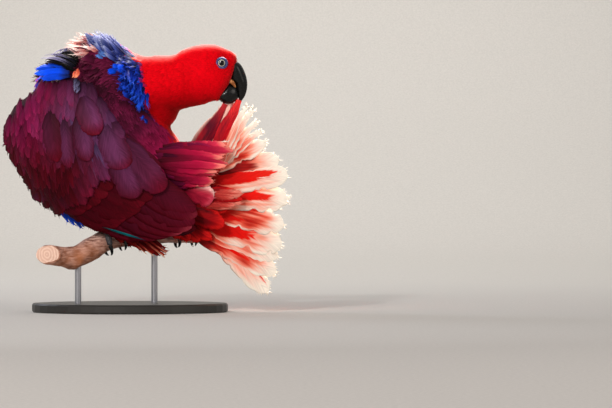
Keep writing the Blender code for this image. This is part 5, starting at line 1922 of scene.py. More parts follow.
LOOKS = {
    "salmon": [(0, "#220610"), (0.35, "#7A2C30"), (0.65, "#C4706A"), (0.85, "#E6AAA4"), (1, "#F4D8D0")],
    "orange": [(0, "#6A1A14"), (0.5, "#D0543C"), (1, "#F08C68")],
    "wine": [(0, "#14030A"), (0.5, "#34081A"), (0.85, "#561030"), (1, "#6C2840")],
    "red": [(0, "#7A0008"), (0.5, "#C4040C"), (0.85, "#E02014"), (1, "#F06040")],
    "down": [(0, "#030303"), (0.6, "#08070A"), (0.9, "#14121A"), (1, "#2C2838")],
    "frost": [(0, "#06060A"), (0.3, "#2A283C"), (0.6, "#7C78A0"), (1, "#B8B2D0")],
    "cobalt": [(0, "#0A1030"), (0.22, "#122C80"), (0.4, "#0440CC"), (0.85, "#0848E4"), (1, "#1E58E8")],
    "lavender": [(0, "#06081C"), (0.45, "#161E58"), (0.7, "#404E96"), (0.9, "#7680B8"), (1, "#A4AACC")],
    "slate": [(0, "#1A1424"), (0.5, "#3C3850"), (1, "#6C6888")],
    "stream": [(0, "#040820"), (0.4, "#081660"), (0.8, "#0E32A8"), (1, "#2050CC")],
    "sky": [(0, "#0A1A5A"), (0.5, "#2450A8"), (1, "#6088D0")],
    "band": [(0, "#03040C"), (0.45, "#050C34"), (0.8, "#0A2080"), (1, "#1C48C8")],
    # rim: a painted highlight, the pale line of light from behind along the top edge of the rump coverts
    "rim": [(0, "#7C0828"), (0.3, "#B05060"), (0.6, "#E4BCB4"), (1, "#EED4C8")],
    # near-black wine strands laid in as painted shadow between the coverts
    "painted_shade": [(0, "#2C0416"), (0.5, "#560628"), (0.85, "#780C34"), (1, "#94163E")],
    "rosy": [(0, "#3A0412"), (0.4, "#740828"), (0.7, "#A40E36"), (0.9, "#CC2C48"), (1, "#E87C70")],
    "plum": [(0, "#34041A"), (0.5, "#640A30"), (0.85, "#860C38"), (1, "#9C1440")],
    "flank": [(0, "#1C0204"), (0.5, "#420206"), (0.85, "#64060C"), (1, "#84140E")],
    "streak": [(0, "#2A0206"), (0.5, "#5E0A0C"), (0.75, "#7E1C18"), (0.92, "#B06048"), (1, "#D0A080")],
    "belly": [(0, "#0A1250"), (0.5, "#1434A8"), (1, "#1C50E0")],
}

PLUMES = (
    PlumeRow(20, (-22, -6, 274), (-56, 4, 264), (-0.9, -0.15, 0.15), (20, 26), 6, (12, 26), "salmon", fringe=6),
    PlumeRow(16, (-24, 8, 276), (-58, 16, 264), (-0.9, 0.1, 0.1), (20, 26), 8, (10, 22), "salmon", fringe=6),
    PlumeRow(22, (-24, -22, 266), (-54, -18, 258), (-0.9, -0.1, 0.05), (18, 24), 5.5, (14, 30), "salmon", fringe=6),
    PlumeRow(14, (-24, -28, 262), (-58, -24, 250), (-0.8, 0, -0.5), (18, 24), 11, (10, 20), "wine", fringe=8),
    PlumeRow(14, (-28, -34, 250), (-52, -28, 238), (-0.7, 0, -0.7), (16, 22), 11, (8, 16), "wine", fringe=8),
    PlumeRow(20, (-54, -20, 258), (-70, 2, 250), (-0.94, 0, -0.1), (16, 22), 7, (4, 12), "down", Tip.ROUND, fringe=3),
    PlumeRow(14, (-54, 8, 264), (-70, 18, 254), (-0.9, 0.1, -0.4), (16, 22), 8, (4, 12), "down", Tip.ROUND, fringe=3),
    PlumeRow(16, (-24, 34, 266), (-82, 30, 246), (-0.8, 0.1, -0.5), (20, 26), 12, (12, 20), "wine"),
    PlumeRow(14, (18, -18, 254), (4, -10, 262), (-0.8, -0.05, 0.4), (13, 18), 6, (8, 16), "red", scatter=1.6, fringe=5),
    PlumeRow(14, (18, 4, 258), (4, 6, 264), (-0.8, 0.05, 0.4), (13, 18), 6, (8, 18), "red", scatter=1.6, fringe=5),
    PlumeRow(18, (2, -24, 252), (18, -26, 220), (-0.25, -0.05, -0.95), (15, 22), 4.2, (6, 14), "stream", fringe=4),
    PlumeRow(9, (-6, -20, 264), (4, -18, 253), (-0.74, -0.05, 0.62), (26, 34), 5.5, (12, 22), "lavender", fringe=5),
    PlumeRow(6, (-4, -14, 268), (4, -12, 260), (-0.7, -0.05, 0.7), (24, 32), 5, (16, 28), "lavender", fringe=5),
)


@dataclass
class LoosePlumes:
    """The raised feathers that name the pose: ruff, nape scales, rump coverts and the flank's streamers."""

    skin: Skin
    seed: int = 12

    def __post_init__(self) -> None:
        """Sets the seeded random source."""
        self.draw = np.random.default_rng(self.seed)

    def paint(self, look: str) -> Paint:
        """Returns the painter of one look."""

        def colours(x: np.ndarray, t: np.ndarray, number: float) -> np.ndarray:
            at = np.clip(t + (number - 0.5) * 0.16 + 0.06 * np.abs(x), 0, 1)
            streak = ripple(np.stack([x * 6 + number * 60, t * 2], -1), 1.5, 7)
            return ramp(LOOKS[look], at) * (0.7 + 0.55 * number + 0.14 * streak)[:, None]

        return colours

    def plant(self, pile: FeatherPile, near: Row, heading: Row, length: float, rise: float, vane: Vane, look: str) -> None:
        """Adds a plume rooted in the skin's nearest place."""
        place, normal = self.skin.nearest(near)
        way = np.asarray(heading, float)
        along = unit(way - normal * (way @ normal))
        side = unit(np.cross(normal, along))
        t = np.linspace(0, 1, 10)
        angle = np.radians(rise + 8 * t - 14 * t * t)
        step = (along * np.cos(angle)[:, None] + normal * np.sin(angle)[:, None]) * length / 9
        centre = place - normal * 0.8 + np.vstack([np.zeros(3), np.cumsum(step[:-1], axis=0)])
        up = unit(normal * np.cos(angle)[:, None] - along * np.sin(angle)[:, None])
        across = unit(side + up * self.draw.normal(0, 0.1))
        vane.grow(pile, centre, np.tile(across, (10, 1)), up, self.paint(look), unwrap(place[None])[0], self.draw)

    def ruff(self) -> bpy.types.Object:
        """Returns the raised mantle, its down and the belly's hanging tufts."""
        pile = FeatherPile()
        for row in PLUMES:
            for k in range(row.count):
                share = (k + self.draw.uniform(-0.4, 0.4)) / (row.count - 1)
                near = mix(row.first, row.last, share) + self.draw.normal(0, row.scatter, 3)
                heading = unit(row.heading) + self.draw.normal(0, 0.12, 3)
                vane = Vane(row.width * self.draw.uniform(0.8, 1.2), row.tip, 0.1, 0.26, 0.5, 8, 0.35, row.fringe,
                            5.0, 14)
                self.plant(pile, near, heading, self.draw.uniform(*row.length), self.draw.uniform(*row.rise), vane,
                           row.look)
        return pile.made("ruff_plumes")

    def nape(self) -> bpy.types.Object:
        """Returns the nape band's scales, lavender over the top and cobalt below."""
        pile = FeatherPile()
        edges = (Markings.hood_edge, Markings.band_edge)
        for row in range(6):
            for z in np.arange(285, 192, -3.7):
                z = z + 1.85 * (row % 2) + self.draw.normal(0, 0.8)
                right, left = (float(np.interp(z, *edge.T)) for edge in edges)
                x = mix(right - 1.0, left + 1.0, (row + 0.2) / 6) + self.draw.normal(0, 0.9)
                if right - left < 2.2 * row:
                    continue
                place, _ = self.skin.facing(float(x), float(min(z, 281.0)))
                top = float(ease(248, 268, z))
                look = "lavender" if z > 262 - self.draw.uniform(0, 18) else "band"
                width = (5.6 + 0.8 * top) * self.draw.uniform(0.8, 1.2)
                kind = Tip.LOOSE if self.draw.uniform() < 0.4 else Tip.ROUND
                vane = Vane(width, kind, 0.14, 0.24, 0.5, 5, 0.25, 6, 2.6, 12, 9)
                heading = (-0.75, -0.05, mix(-0.5, 0.75, top))
                length = self.draw.uniform(9, 13) + (15 - 2.4 * row) * top
                rise = self.draw.uniform(8, 15) + 22 * float(ease(250, 272, z))
                self.plant(pile, place, heading, length, rise, vane, look)
        patches = (((-17, 258), 13, "sky"), ((-4, 244), 5, "cobalt"))
        for (x, z), count, look in patches:
            for _ in range(count):
                place, _ = self.skin.facing(x + self.draw.normal(0, 3.0), z + self.draw.normal(0, 2.2))
                vane = Vane(6.4, Tip.ROUND, 0.14, 0.24, 0.5, 4, 0.2, 5, 2.0, 12, 9)
                self.plant(pile, place, (-0.8, -0.1, -0.3), self.draw.uniform(10, 13), self.draw.uniform(16, 26), vane, look)
        return pile.made("nape_band_feathers")

    def cobalt(self, wing: Wing) -> bpy.types.Object:
        """Returns the bright blue feathers at the top of the near shoulder."""
        pile = FeatherPile()
        rows = (
            ((-63, 40), (-87, 25)), ((-60, 37), (-87, 17)), ((-57, 35), (-78, 17)), ((-60, 38), (-84, 21)),
            ((-64, 42), (-80, 32)), ((-70, 36), (-88, 21)),
        )
        for k, (root, tip) in enumerate(rows):
            vane = Vane(9, Tip.ROUND, 0.1, 0.28, 0.5, 4, 0.2, 5, 2.0, 16, 9, 0.75)
            wing.place(pile, root, tip, vane, (2.2, 3.4 + 0.2 * k), 0.02, 1.0, self.paint("cobalt"))
        for k in range(10):
            look, spot = ("orange", (-53, 44)) if k % 2 else ("slate", (-47, 36))
            root = np.array(spot, float) + self.draw.normal(0, 1.8, 2)
            vane = Vane(3.6, Tip.LOOSE, 0.1, 0.22, 0.5, 3, 0.3, 2, 2.0, 12, 7, 0.6)
            wing.place(pile, root, root + (2.4, -7.0), vane, (3.6, 5.2), 0.0, 0.3, self.paint(look))
        for k in range(40):
            high = self.draw.uniform()
            fine = k % 4 == 3
            root = mix((-59, 44), (-65, 57), high) + self.draw.normal(0, 1.5, 2)
            tip = mix((-87, 29), (-83, 45), high) + self.draw.uniform(0, 1) * np.array((9, 5)) * (not fine)
            width, kind = (1.5, Tip.LOOSE) if fine else (self.draw.uniform(5, 7.5), Tip.ROUND)
            vane = Vane(width, kind, 0.1, 0.22, 0.5, 3, 0.2, 0 if fine else 3, 3.0, 16, 7, 0.7)
            lift = 6.5 if fine else self.draw.uniform(0.5, 5.0)
            wing.place(pile, root, tip, vane, (1.0, lift + 2), 0.0, 1.5 + fine, self.paint("frost" if fine else "down"))
        return pile.made("shoulder_cobalt_feathers")

    def tail_coverts(self, tail: Tail) -> bpy.types.Object:
        """Returns the long rosy coverts over the base of the tail, in three tiers of silky strands."""
        pile = FeatherPile()
        roots = np.array([(44, 162), (35, 162), (28, 158), (26, 153), (28, 146), (34, 139), (42, 131)], float)
        tips = np.array([(98, 168), (102, 162), (101, 155), (97, 148), (90, 142), (87, 134), (84, 127)], float)
        stops = np.linspace(0, 1, 7)
        for count, reach, near, tier in ((15, 1.0, 0.0, "rosy"), (15, 0.72, 1.4, "rosy"), (14, 0.46, 2.6, "plum")):
            for k in range(count):
                share = (k + self.draw.uniform(-0.3, 0.3)) / (count - 1)
                x, z = (np.interp(share, stops, roots[:, i]) + self.draw.normal(0, 1.5) for i in (0, 1))
                end = np.array([np.interp(share, stops, tips[:, i]) for i in (0, 1)])
                far = mix((x, z), end, reach * self.draw.uniform(0.9, 1.04))
                place = self.skin.facing(min(x, 44), z)[0]
                kind = Tip.LOOSE if self.draw.uniform() < 0.6 else Tip.ROUND
                # about a quarter of the lower tiers' strands are dark strands laid in as painted shadow between the
                # coverts
                look = "painted_shade" if near and self.draw.uniform() < 0.25 else tier
                vane = Vane(self.draw.uniform(8, 14), kind, 0.1, 0.3, 0.5, 4, 0.2, 4, 3.0, 30, 11, 0.8)
                depth = mix(-15.0, -19.0, ease(125, 150, far[1])) - near - self.draw.uniform(0, 1.6)
                tail.span(pile, (x, place[1] - 0.8, z), (far[0], float(depth), far[1]), 1.5, vane, self.paint(look),
                          (0.1 + 0.8 * share, 0.4), self.draw, self.draw.normal(3, 5))
        # rim: one thin strand along the coverts' top edge, painted pale as a painted highlight of the light from behind
        rim = Vane(2.6, Tip.LOOSE, 0.1, 0.3, 0.5, 2, 0.2, 6, 3.0, 30, 9)
        tail.span(pile, (48, -15, 168), (99, -19.5, 170.0), 1.5, rim, self.paint("rim"), (0.9, 0.4), self.draw, 0)
        return pile.made("rump_coverts")

    def flank(self, tail: Tail) -> bpy.types.Object:
        """Returns the streaky feathers that hang from the near thigh past the perch."""
        pile = FeatherPile()
        rows = (
            ((-28, 92), (2, 66), 11, "flank"), ((-26, 93), (16, 61), 11, "flank"), ((-24, 92), (29, 57), 11, "flank"),
            ((-20, 94), (35, 57), 10, "flank"), ((-16, 94), (37, 60), 9, "flank"), ((-22, 92), (24, 59), 10, "flank"),
            ((-14, 92), (33, 62), 10, "flank"), ((-6, 90), (36, 64), 8, "flank"), ((-18, 90), (10, 64), 10, "flank"),
            ((-26, 92), (-6, 70), 10, "flank"), ((-8, 90), (36, 55), 2.6, "streak"), ((-6, 90), (30, 59), 2.4, "streak"),
            ((-12, 88), (25, 56), 2.4, "streak"), ((-2, 88), (38, 59), 2.2, "streak"), ((-16, 88), (18, 58), 2.2, "streak"),
            ((-54, 108), (-34, 84), 11, "flank"), ((-48, 108), (-28, 82), 11, "flank"), ((-44, 106), (-38, 84), 9, "flank"),
            ((-80, 124), (-61, 90), 8, "belly"), ((-76, 120), (-64, 95), 8, "belly"), ((-72, 118), (-55, 87), 8, "belly"),
            ((-66, 114), (-48, 84), 9, "belly"), ((-60, 112), (-46, 86), 8, "belly"), ((-70, 116), (-58, 91), 7, "belly"),
        )
        for k, ((x, z), (tip_x, tip_z), width, look) in enumerate(rows):
            vane = Vane(width, Tip.LOOSE, 0.08, 0.3, 0.5, 5, 0.2, 4 if width > 4 else 0, 4.0, 30, 9, 0.8)
            near = -12 - 0.6 * k if k < 15 else -8 - 0.4 * (k - 15)
            tail.span(pile, (x, -13, z), (tip_x, near, tip_z), 4, vane, self.paint(look),
                      (0.05 + 0.038 * k, 0.8), self.draw, 4)
        return pile.made("flank_streamers")


# Bill, eyes, feet, perch and stand


@dataclass
class Bill:
    """The black hooked bill: both mandibles between their outer and inner edges, and the yellow gape."""

    upper: tuple[tuple, ...] = (
        ((104.5, 251.0), (98, 246), 6.8), ((108.6, 249.5), (99, 243), 8.0), ((111.9, 246.0), (100, 239.5), 8.3),
        ((114.6, 240.6), (99.2, 235.5), 7.9), ((116.6, 234.5), (99.8, 231.2), 7.0), ((117.5, 228), (105.0, 228.4), 5.9),
        ((116.9, 221.6), (106.4, 223.8), 4.6), ((115.3, 216.5), (107.3, 219.0), 3.3), ((113.0, 212.7), (108.4, 214.0), 2.0),
        ((110.4, 210.0), (109.4, 210.7), 0.6),
    )
    lower: tuple[tuple, ...] = (
        ((88, 213), (90, 221), 6.5), ((91.5, 209.8), (93.5, 224), 8.0), ((95, 208.3), (97, 226.8), 8.5),
        ((98.5, 207.8), (99.0, 229.0), 8.2), ((101.6, 208.3), (103.4, 228.2), 7.2), ((104.4, 209.8), (106.4, 226.0), 5.8),
        ((106.8, 212.0), (108.0, 221.8), 4.0), ((108.2, 214.2), (109.0, 218.2), 2.2),
    )
    centre_y: float = -2.0

    def shell(self, name: str, rows: Sequence[tuple], ridge: float) -> bpy.types.Object:
        """Makes a mandible.

        Args:
            name: The piece's name.
            rows: Outer and inner edge as x and height, and half breadth, at each station.
            ridge: How sharply the outer edge is drawn in, from 0 for round.

        Returns:
            The closed, subdivided piece.
        """
        rows = drawn([[*outer, *inner, broad] for outer, inner, broad in rows], 3)
        angle = np.linspace(0, 2 * math.pi, 24, endpoint=False)
        rings = []
        for ox, oz, ix, iz, broad in rows:
            middle, half = np.array(((ox + ix) / 2, (oz + iz) / 2)), np.array(((ox - ix) / 2, (oz - iz) / 2))
            out, side = np.cos(angle), np.sin(angle)
            pinch = 1 - ridge * np.clip(out, 0, 1) ** 2 * 0.5 - 0.12 * np.clip(-out, 0, 1)
            place = middle + half * (np.sign(out) * np.abs(out) ** 0.85)[:, None]
            rings.append(np.stack([place[:, 0], self.centre_y + broad * side * pinch, place[:, 1]], axis=1))
        thing = loft(name, np.array(rings))
        smooth = thing.modifiers.new("smooth", "SUBSURF")
        smooth.levels = smooth.render_levels = 1
        return baked(thing)

    def build(self, horn: bpy.types.Material, gape: bpy.types.Material) -> None:
        """Builds the bill and hands it to the frame."""
        settle(self.shell("bill_upper_horn", self.upper, 0.35), horn, "bill_and_claws", "bill_upper")
        settle(self.shell("bill_lower_horn", self.lower, 0.1), horn, "bill_and_claws", "bill_lower")
        for side, way in (("right", -1), ("left", 1)):
            rows = drawn([(99.8, 231.9, 0.9), (101.8, 229.9, 2.0), (103.8, 227.6, 1.7), (105.6, 224.4, 0.7)], 5)
            y = self.centre_y + way * np.array([6.4, 6.3, 5.2, 4.0])
            ys = drawn(y[:, None], 5)[:, 0]
            line = np.stack([rows[:, 0], ys, rows[:, 1], rows[:, 2]], axis=1)
            settle(loft(f"gape_{side}", circle_rings(line, 12)), gape, "bill_and_claws")


@dataclass
class Eye:
    """An eye: a wet ball in its socket, the lid's rim, and the bare blue-grey ring round it."""

    side: str
    skin: Skin

    def build(self, cornea: bpy.types.Material, bare: bpy.types.Material) -> None:
        """Builds the eye and hands it to the frame."""
        low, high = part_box(f"eye_{self.side}")
        centre = np.array((low + high) / 2) / MM + (1.2, 0, 0)
        radius = 6.2
        way = -1.0 if self.side == "right" else 1.0
        _, normal = self.skin.nearest(centre + (0, way * 9, 0))
        out = unit(np.array((0, way, 0)) * 0.75 + normal * 0.25)
        side = unit(np.cross((0, 0, 1), out))
        up = np.cross(out, side)
        rings = []
        for angle in np.linspace(0.02, math.pi - 0.02, 40):
            turn = np.linspace(0, 2 * math.pi, 40, endpoint=False)[:, None]
            rings.append(centre + out * radius * math.cos(angle)
                         + (side * np.cos(turn) + up * np.sin(turn)) * radius * math.sin(angle))
        ball = loft(f"eye_{self.side}_ball", np.array(rings))
        points = np.array([v.co for v in ball.data.vertices]) / MM - centre
        away = np.linalg.norm(points - (points @ out)[:, None] * out, axis=1)
        away = np.where(points @ out > 0, away, radius)
        data = ball.data.attributes.new("eye", "FLOAT", "POINT")
        data.data.foreach_set("value", away.astype(np.float32))
        settle(ball, cornea, "eye", f"eye_{self.side}")
        depth = math.sqrt(radius**2 - 3.6**2)
        profile = [(3.9, depth - 0.6), (4.0, depth - 0.1), (4.2, depth + 0.3), (4.55, depth + 0.4), (4.9, depth + 0.3),
                   (5.4, depth), (5.8, depth - 0.5), (6.3, depth - 1.4), (5.8, depth - 2.6), (4.6, depth - 2.4),
                   (3.9, depth - 1.6)]
        turn = np.linspace(0, 2 * math.pi, 64, endpoint=False)
        draw = np.random.default_rng(4)
        wrinkle = 0.05 * np.sin(turn * 22) + 0.05 * draw.normal(0, 1, 64)
        rows = []
        for k, (away, high) in enumerate(profile):
            reach = away * (1 + 0.03 * np.cos(turn * 2))
            lift = high + wrinkle * (1 if 3 <= k <= 6 else 0.2)
            rows.append(centre + out * lift[:, None] + (side * np.cos(turn)[:, None] + up * np.sin(turn)[:, None])
                        * reach[:, None])
        rows.append(rows[0])
        ring = np.array(rows)
        count, sides = ring.shape[:2]
        faces = [(i * sides + k, i * sides + (k + 1) % sides, (i + 1) * sides + (k + 1) % sides, (i + 1) * sides + k)
                 for i in range(count - 1) for k in range(sides)]
        lid = tidied(mesh_from(f"eye_{self.side}_ring", ring.reshape(-1, 3), faces))
        settle(lid, bare, "leg_skin")


PERCH = [
    ((-79, -44, 58), 10.0), ((-66, -35, 56.5), 9.8), ((-52, -26, 56), 10.6), ((-38, -17, 63), 11.2),
    ((-24, -10, 71), 10.2), ((-6, -3, 74.5), 9.2), ((20, 7, 76.5), 8.6), ((46, 16, 77.5), 8.4),
    ((66, 22, 77.5), 8.6), ((86, 28, 79), 8.2),
]


@dataclass
class Perch:
    """The cut length of branch: knotted bark over its length and sawn wood at both ends."""

    slant: float = 0.85
    knots: tuple[tuple[float, float, float], ...] = ((-56, 200, 2.6), (-40, 300, 2.2), (-14, 60, 1.4), (34, 250, 1.6))

    def __post_init__(self) -> None:
        """Draws the middle line."""
        self.line = drawn([[*p, r] for p, r in PERCH], 8)
        self.ahead = unit(np.gradient(self.line[:, :3], axis=0))

    def around(self, x: float, angle: float, lift: float) -> np.ndarray:
        """Returns a point round the perch at x: angle 0 is on top, and positive angles go down its near side."""
        centre = np.array([np.interp(x, self.line[:, 0], self.line[:, k]) for k in range(3)])
        way = unit([np.interp(x, self.line[:, 0], self.ahead[:, k]) for k in range(3)])
        radius = float(np.interp(x, self.line[:, 0], self.line[:, 3]))
        up = unit(np.array((0, 0, 1.0)) - way * way[2])
        near = toward(np.cross(way, up), (0, -1, 0))
        a = math.radians(angle)
        return centre + (up * math.cos(a) + near * math.sin(a)) * (radius + lift)

    def build(self, bark: bpy.types.Material, sawn: bpy.types.Material) -> None:
        """Builds the perch and hands it to the frame."""
        line = drawn([[*p, r] for p, r in PERCH], 14)
        sides = 56
        rings = circle_rings(line, sides)
        centres = line[:, None, :3]
        out = unit(rings - centres)
        flat = rings.reshape(-1, 3)
        swell = 0.5 * ripple(flat, 26, 2) + 0.34 * ripple(flat, 9, 3) + 0.12 * ripple(flat, 3.5, 6)
        swell = swell.reshape(rings.shape[:2])
        turn = np.degrees(np.arctan2(out[..., 1], out[..., 2]))
        for x, angle, high in self.knots:
            apart = ((rings[..., 0] - x) / 6) ** 2 + (((turn - angle + 180) % 360 - 180) / 38) ** 2
            swell = swell + high * np.exp(-apart) - high * 0.5 * np.exp(-apart * 7)
        ends = np.minimum(np.arange(len(line)), np.arange(len(line))[::-1])[:, None]
        swell = np.where(ends == 0, 1.6 * swell - 1.3, np.where(ends == 1, 1.2 * swell - 0.3, swell))
        shear = self.slant * np.clip(1 - np.arange(len(line)) / 17, 0, 1)[:, None]
        rings[..., 0] += shear * (line[:, None, 1] - rings[..., 1])
        thing = loft("perch_branch", rings + out * swell[..., None])
        thing.data.materials.append(bark)
        thing.data.materials.append(sawn)
        first, last = np.array(PERCH[0][0]), np.array(PERCH[-1][0])
        for face in thing.data.polygons:
            at = np.array(face.center) / MM
            if len(face.vertices) == 3 and min(np.linalg.norm(at - first), np.linalg.norm(at - last)) < 11:
                face.material_index = 1
                face.use_smooth = False
        settle(thing, bark, "perch_wood", "perch")


@dataclass
class Foot:
    """A grey gripping foot, two toes each way, with its scaled toes, black claws and short tarsus."""

    side: str
    perch: Perch
    toes: tuple[tuple[int, float, float, float], ...] = (
        (1, 0.55, 14, 92), (4, -0.75, 14, 104), (2, 0.7, -14, -100), (3, -0.6, -14, -112),
    )
    spread: float = 8.0
    radius: float = 3.1

    def toe(self, along: float, drift: float, start: float, stop: float) -> np.ndarray:
        """Returns a toe's rings, with pads below and a ladder of scutes above."""
        rows = []
        for share in np.linspace(0, 1, 34):
            angle = start * 0.2 + (stop - start * 0.2) * share
            knuckle = 0.42 * math.exp(-(((share - 0.4) / 0.07) ** 2)) + 0.42 * math.exp(-(((share - 0.75) / 0.06) ** 2))
            rows.append([*self.perch.around(along + drift * share, angle, self.radius + 0.4),
                         self.radius - 0.45 * share + knuckle])
        rows = np.array(rows)
        sides = 18
        scute = 1 + 0.055 * np.abs(np.sin(np.linspace(0, 13 * math.pi, 34)))[:, None] * np.ones(sides)
        scute[-1] *= 0.7
        scute[0] *= 0.6
        return circle_rings(rows, sides, scute)

    def claw(self, along: float, stop: float) -> np.ndarray:
        """Returns a claw's rings, curved on round the perch from the toe's end."""
        way = 1 if stop > 0 else -1
        rows = []
        for share in np.linspace(0, 1, 18):
            rise = self.radius + 0.6 + 1.6 * math.sin(math.pi * share) + 1.2 * share
            point = self.perch.around(along, stop + way * (2 + 56 * share), rise)
            rows.append([*point, 2.15 * (1 - share) ** 0.75 + 0.14])
        return circle_rings(np.array(rows), 14)

    def build(self, hide: bpy.types.Material, horn: bpy.types.Material) -> None:
        """Builds the foot and hands it to the frame."""
        leg = LEGS[self.side]
        grip = leg["grip"]
        made = bmesh.new()
        centre = self.perch.around(grip, 0, self.radius + 0.6)
        rows = np.array([[centre[0] + 7.6 * c, centre[1], centre[2], 5.6 * math.sqrt(max(1 - c * c, 0.004))]
                         for c in np.linspace(-1, 1, 14)])
        forms = [loft("pad", circle_rings(rows, 18))]
        heel, top = np.array(leg["heel"], float), self.perch.around(grip, 0, self.radius + 1.5)
        drop = unit(top - heel)
        shank = drawn([[*(heel - drop * 2.5), 4.2], [*mix(heel, top, 0.45), 3.7], [*(top + drop * 3), 4.6]], 10)
        rings = 1 + 0.05 * np.abs(np.sin(np.linspace(0, 7 * math.pi, len(shank))))[:, None] * np.ones(18)
        forms.append(loft("shank", circle_rings(shank, 18, rings)))
        for number, offset, start, stop in self.toes:
            along, drift = grip + offset * self.spread, 3.0 if offset > 0 else -3.0
            forms.append(loft("toe", self.toe(along, drift, start, stop)))
            claw = loft(f"claw_{self.side}_{number}_horn", self.claw(along + drift, stop))
            settle(claw, horn, "bill_and_claws", f"claw_{self.side}_{number}")
        for form in forms:
            made.from_mesh(form.data)
            bpy.data.objects.remove(form)
        mesh = bpy.data.meshes.new(f"foot_{self.side}_skin")
        made.to_mesh(mesh)
        made.free()
        thing = bpy.data.objects.new(mesh.name, mesh)
        bpy.context.scene.collection.objects.link(thing)
        mesh.shade_smooth()
        settle(thing, hide, "leg_skin", f"foot_{self.side}", f"tarsus_{self.side}")


@dataclass(frozen=True)
class Lamp:
    """A soft studio lamp: where it stands and aims, in metres, its size, power and colour."""

    name: str
    place: Row
    aim: Row
    size: float
    power: float
    colour: str
    spread: float = 1.0
    spares_floor: bool = False

    def light(self, flat: tuple[bpy.types.Object, ...]) -> None:
        """Adds the lamp, and keeps it off the floor and the base where it would burn them out."""
        data = bpy.data.lights.new(self.name, "AREA")
        data.shape = "DISK"
        data.size = self.size
        data.energy = self.power
        data.spread = math.pi * self.spread
        data.color = tuple(linear(self.colour))
        lamp = bpy.data.objects.new(self.name, data)
        lamp.location = self.place
        lamp.rotation_euler = (Vector(self.aim) - Vector(self.place)).to_track_quat("-Z", "Y").to_euler()
        bpy.context.scene.collection.objects.link(lamp)
        if self.spares_floor:
            unlit = bpy.data.collections.new(f"{self.name}_skips")
            for thing in flat:
                unlit.objects.link(thing)
            lamp.light_linking.receiver_collection = unlit
            for entry in unlit.collection_objects:
                entry.light_linking.link_state = "EXCLUDE"


@dataclass
class Studio:
    """A pale seamless floor, soft lamps with a strong one behind and above, and the photograph's camera."""

    lamps: tuple[Lamp, ...] = (
        Lamp("front_fill", (-0.9, -1.9, 1.1), (0.02, 0, 0.17), 1.4, 18.5, "#FFF6F0"),
        Lamp("right_fill", (1.5, -1.3, 0.8), (0.03, 0, 0.17), 1.0, 8, "#FFF4EC"),
        Lamp("back_rim", (0.1, 0.6, 0.95), (0.04, 0, 0.2), 0.3, 11, "#FFF2E6", 0.42, True),
        Lamp("left_rim", (-1.3, 0.8, 1.0), (0.0, 0, 0.18), 0.6, 6, "#E8EEFF"),
        Lamp("catch_light", (-0.45, -1.5, 0.95), (0.09, 0, 0.24), 0.06, 1.0, "#FFFFFF", 0.3),
        Lamp("backdrop_wash", (0.0, 0.9, 2.2), (0.1, 2.6, 0.5), 1.2, 24, "#F6F4F0", 0.8),
    )

    def build(self, floor: bpy.types.Material) -> None:
        """Builds floor, lamps, world and camera."""
        rows = drawn([(-3.4, 0.0), (-1.0, 0.0), (1.2, 0.0), (2.0, 0.12), (2.5, 0.7), (2.6, 2.4)], 8)
        xs = np.linspace(-3.5, 3.5, 8)
        points = [(x * 1000, y * 1000, max(z, 0) * 1000) for y, z in rows for x in xs]
        faces = [(i * 8 + k, i * 8 + k + 1, i * 8 + k + 9, i * 8 + k + 8) for i in range(len(rows) - 1) for k in range(7)]
        thing = mesh_from("studio_floor", np.array(points), faces)
        thing.data.materials.append(floor)
        for lamp in self.lamps:
            lamp.light((thing, bpy.data.objects["stand_base"]))
        world = bpy.data.worlds.new("studio")
        world.use_nodes = True
        world.node_tree.nodes["Background"].inputs[0].default_value = (*linear("#F2F2F4"), 1)
        world.node_tree.nodes["Background"].inputs[1].default_value = 0.42
        bpy.context.scene.world = world
        bpy.context.scene.view_settings.view_transform = "Standard"
        data = bpy.data.cameras.new("camera")
        data.lens, data.sensor_width = 176.5, 36.0
        camera = bpy.data.objects.new("camera", data)
        camera.location = (0.176, -3.0, 0.108)
        camera.rotation_euler = (math.radians(90), 0, 0)
        bpy.context.scene.collection.objects.link(camera)
        bpy.context.scene.camera = camera


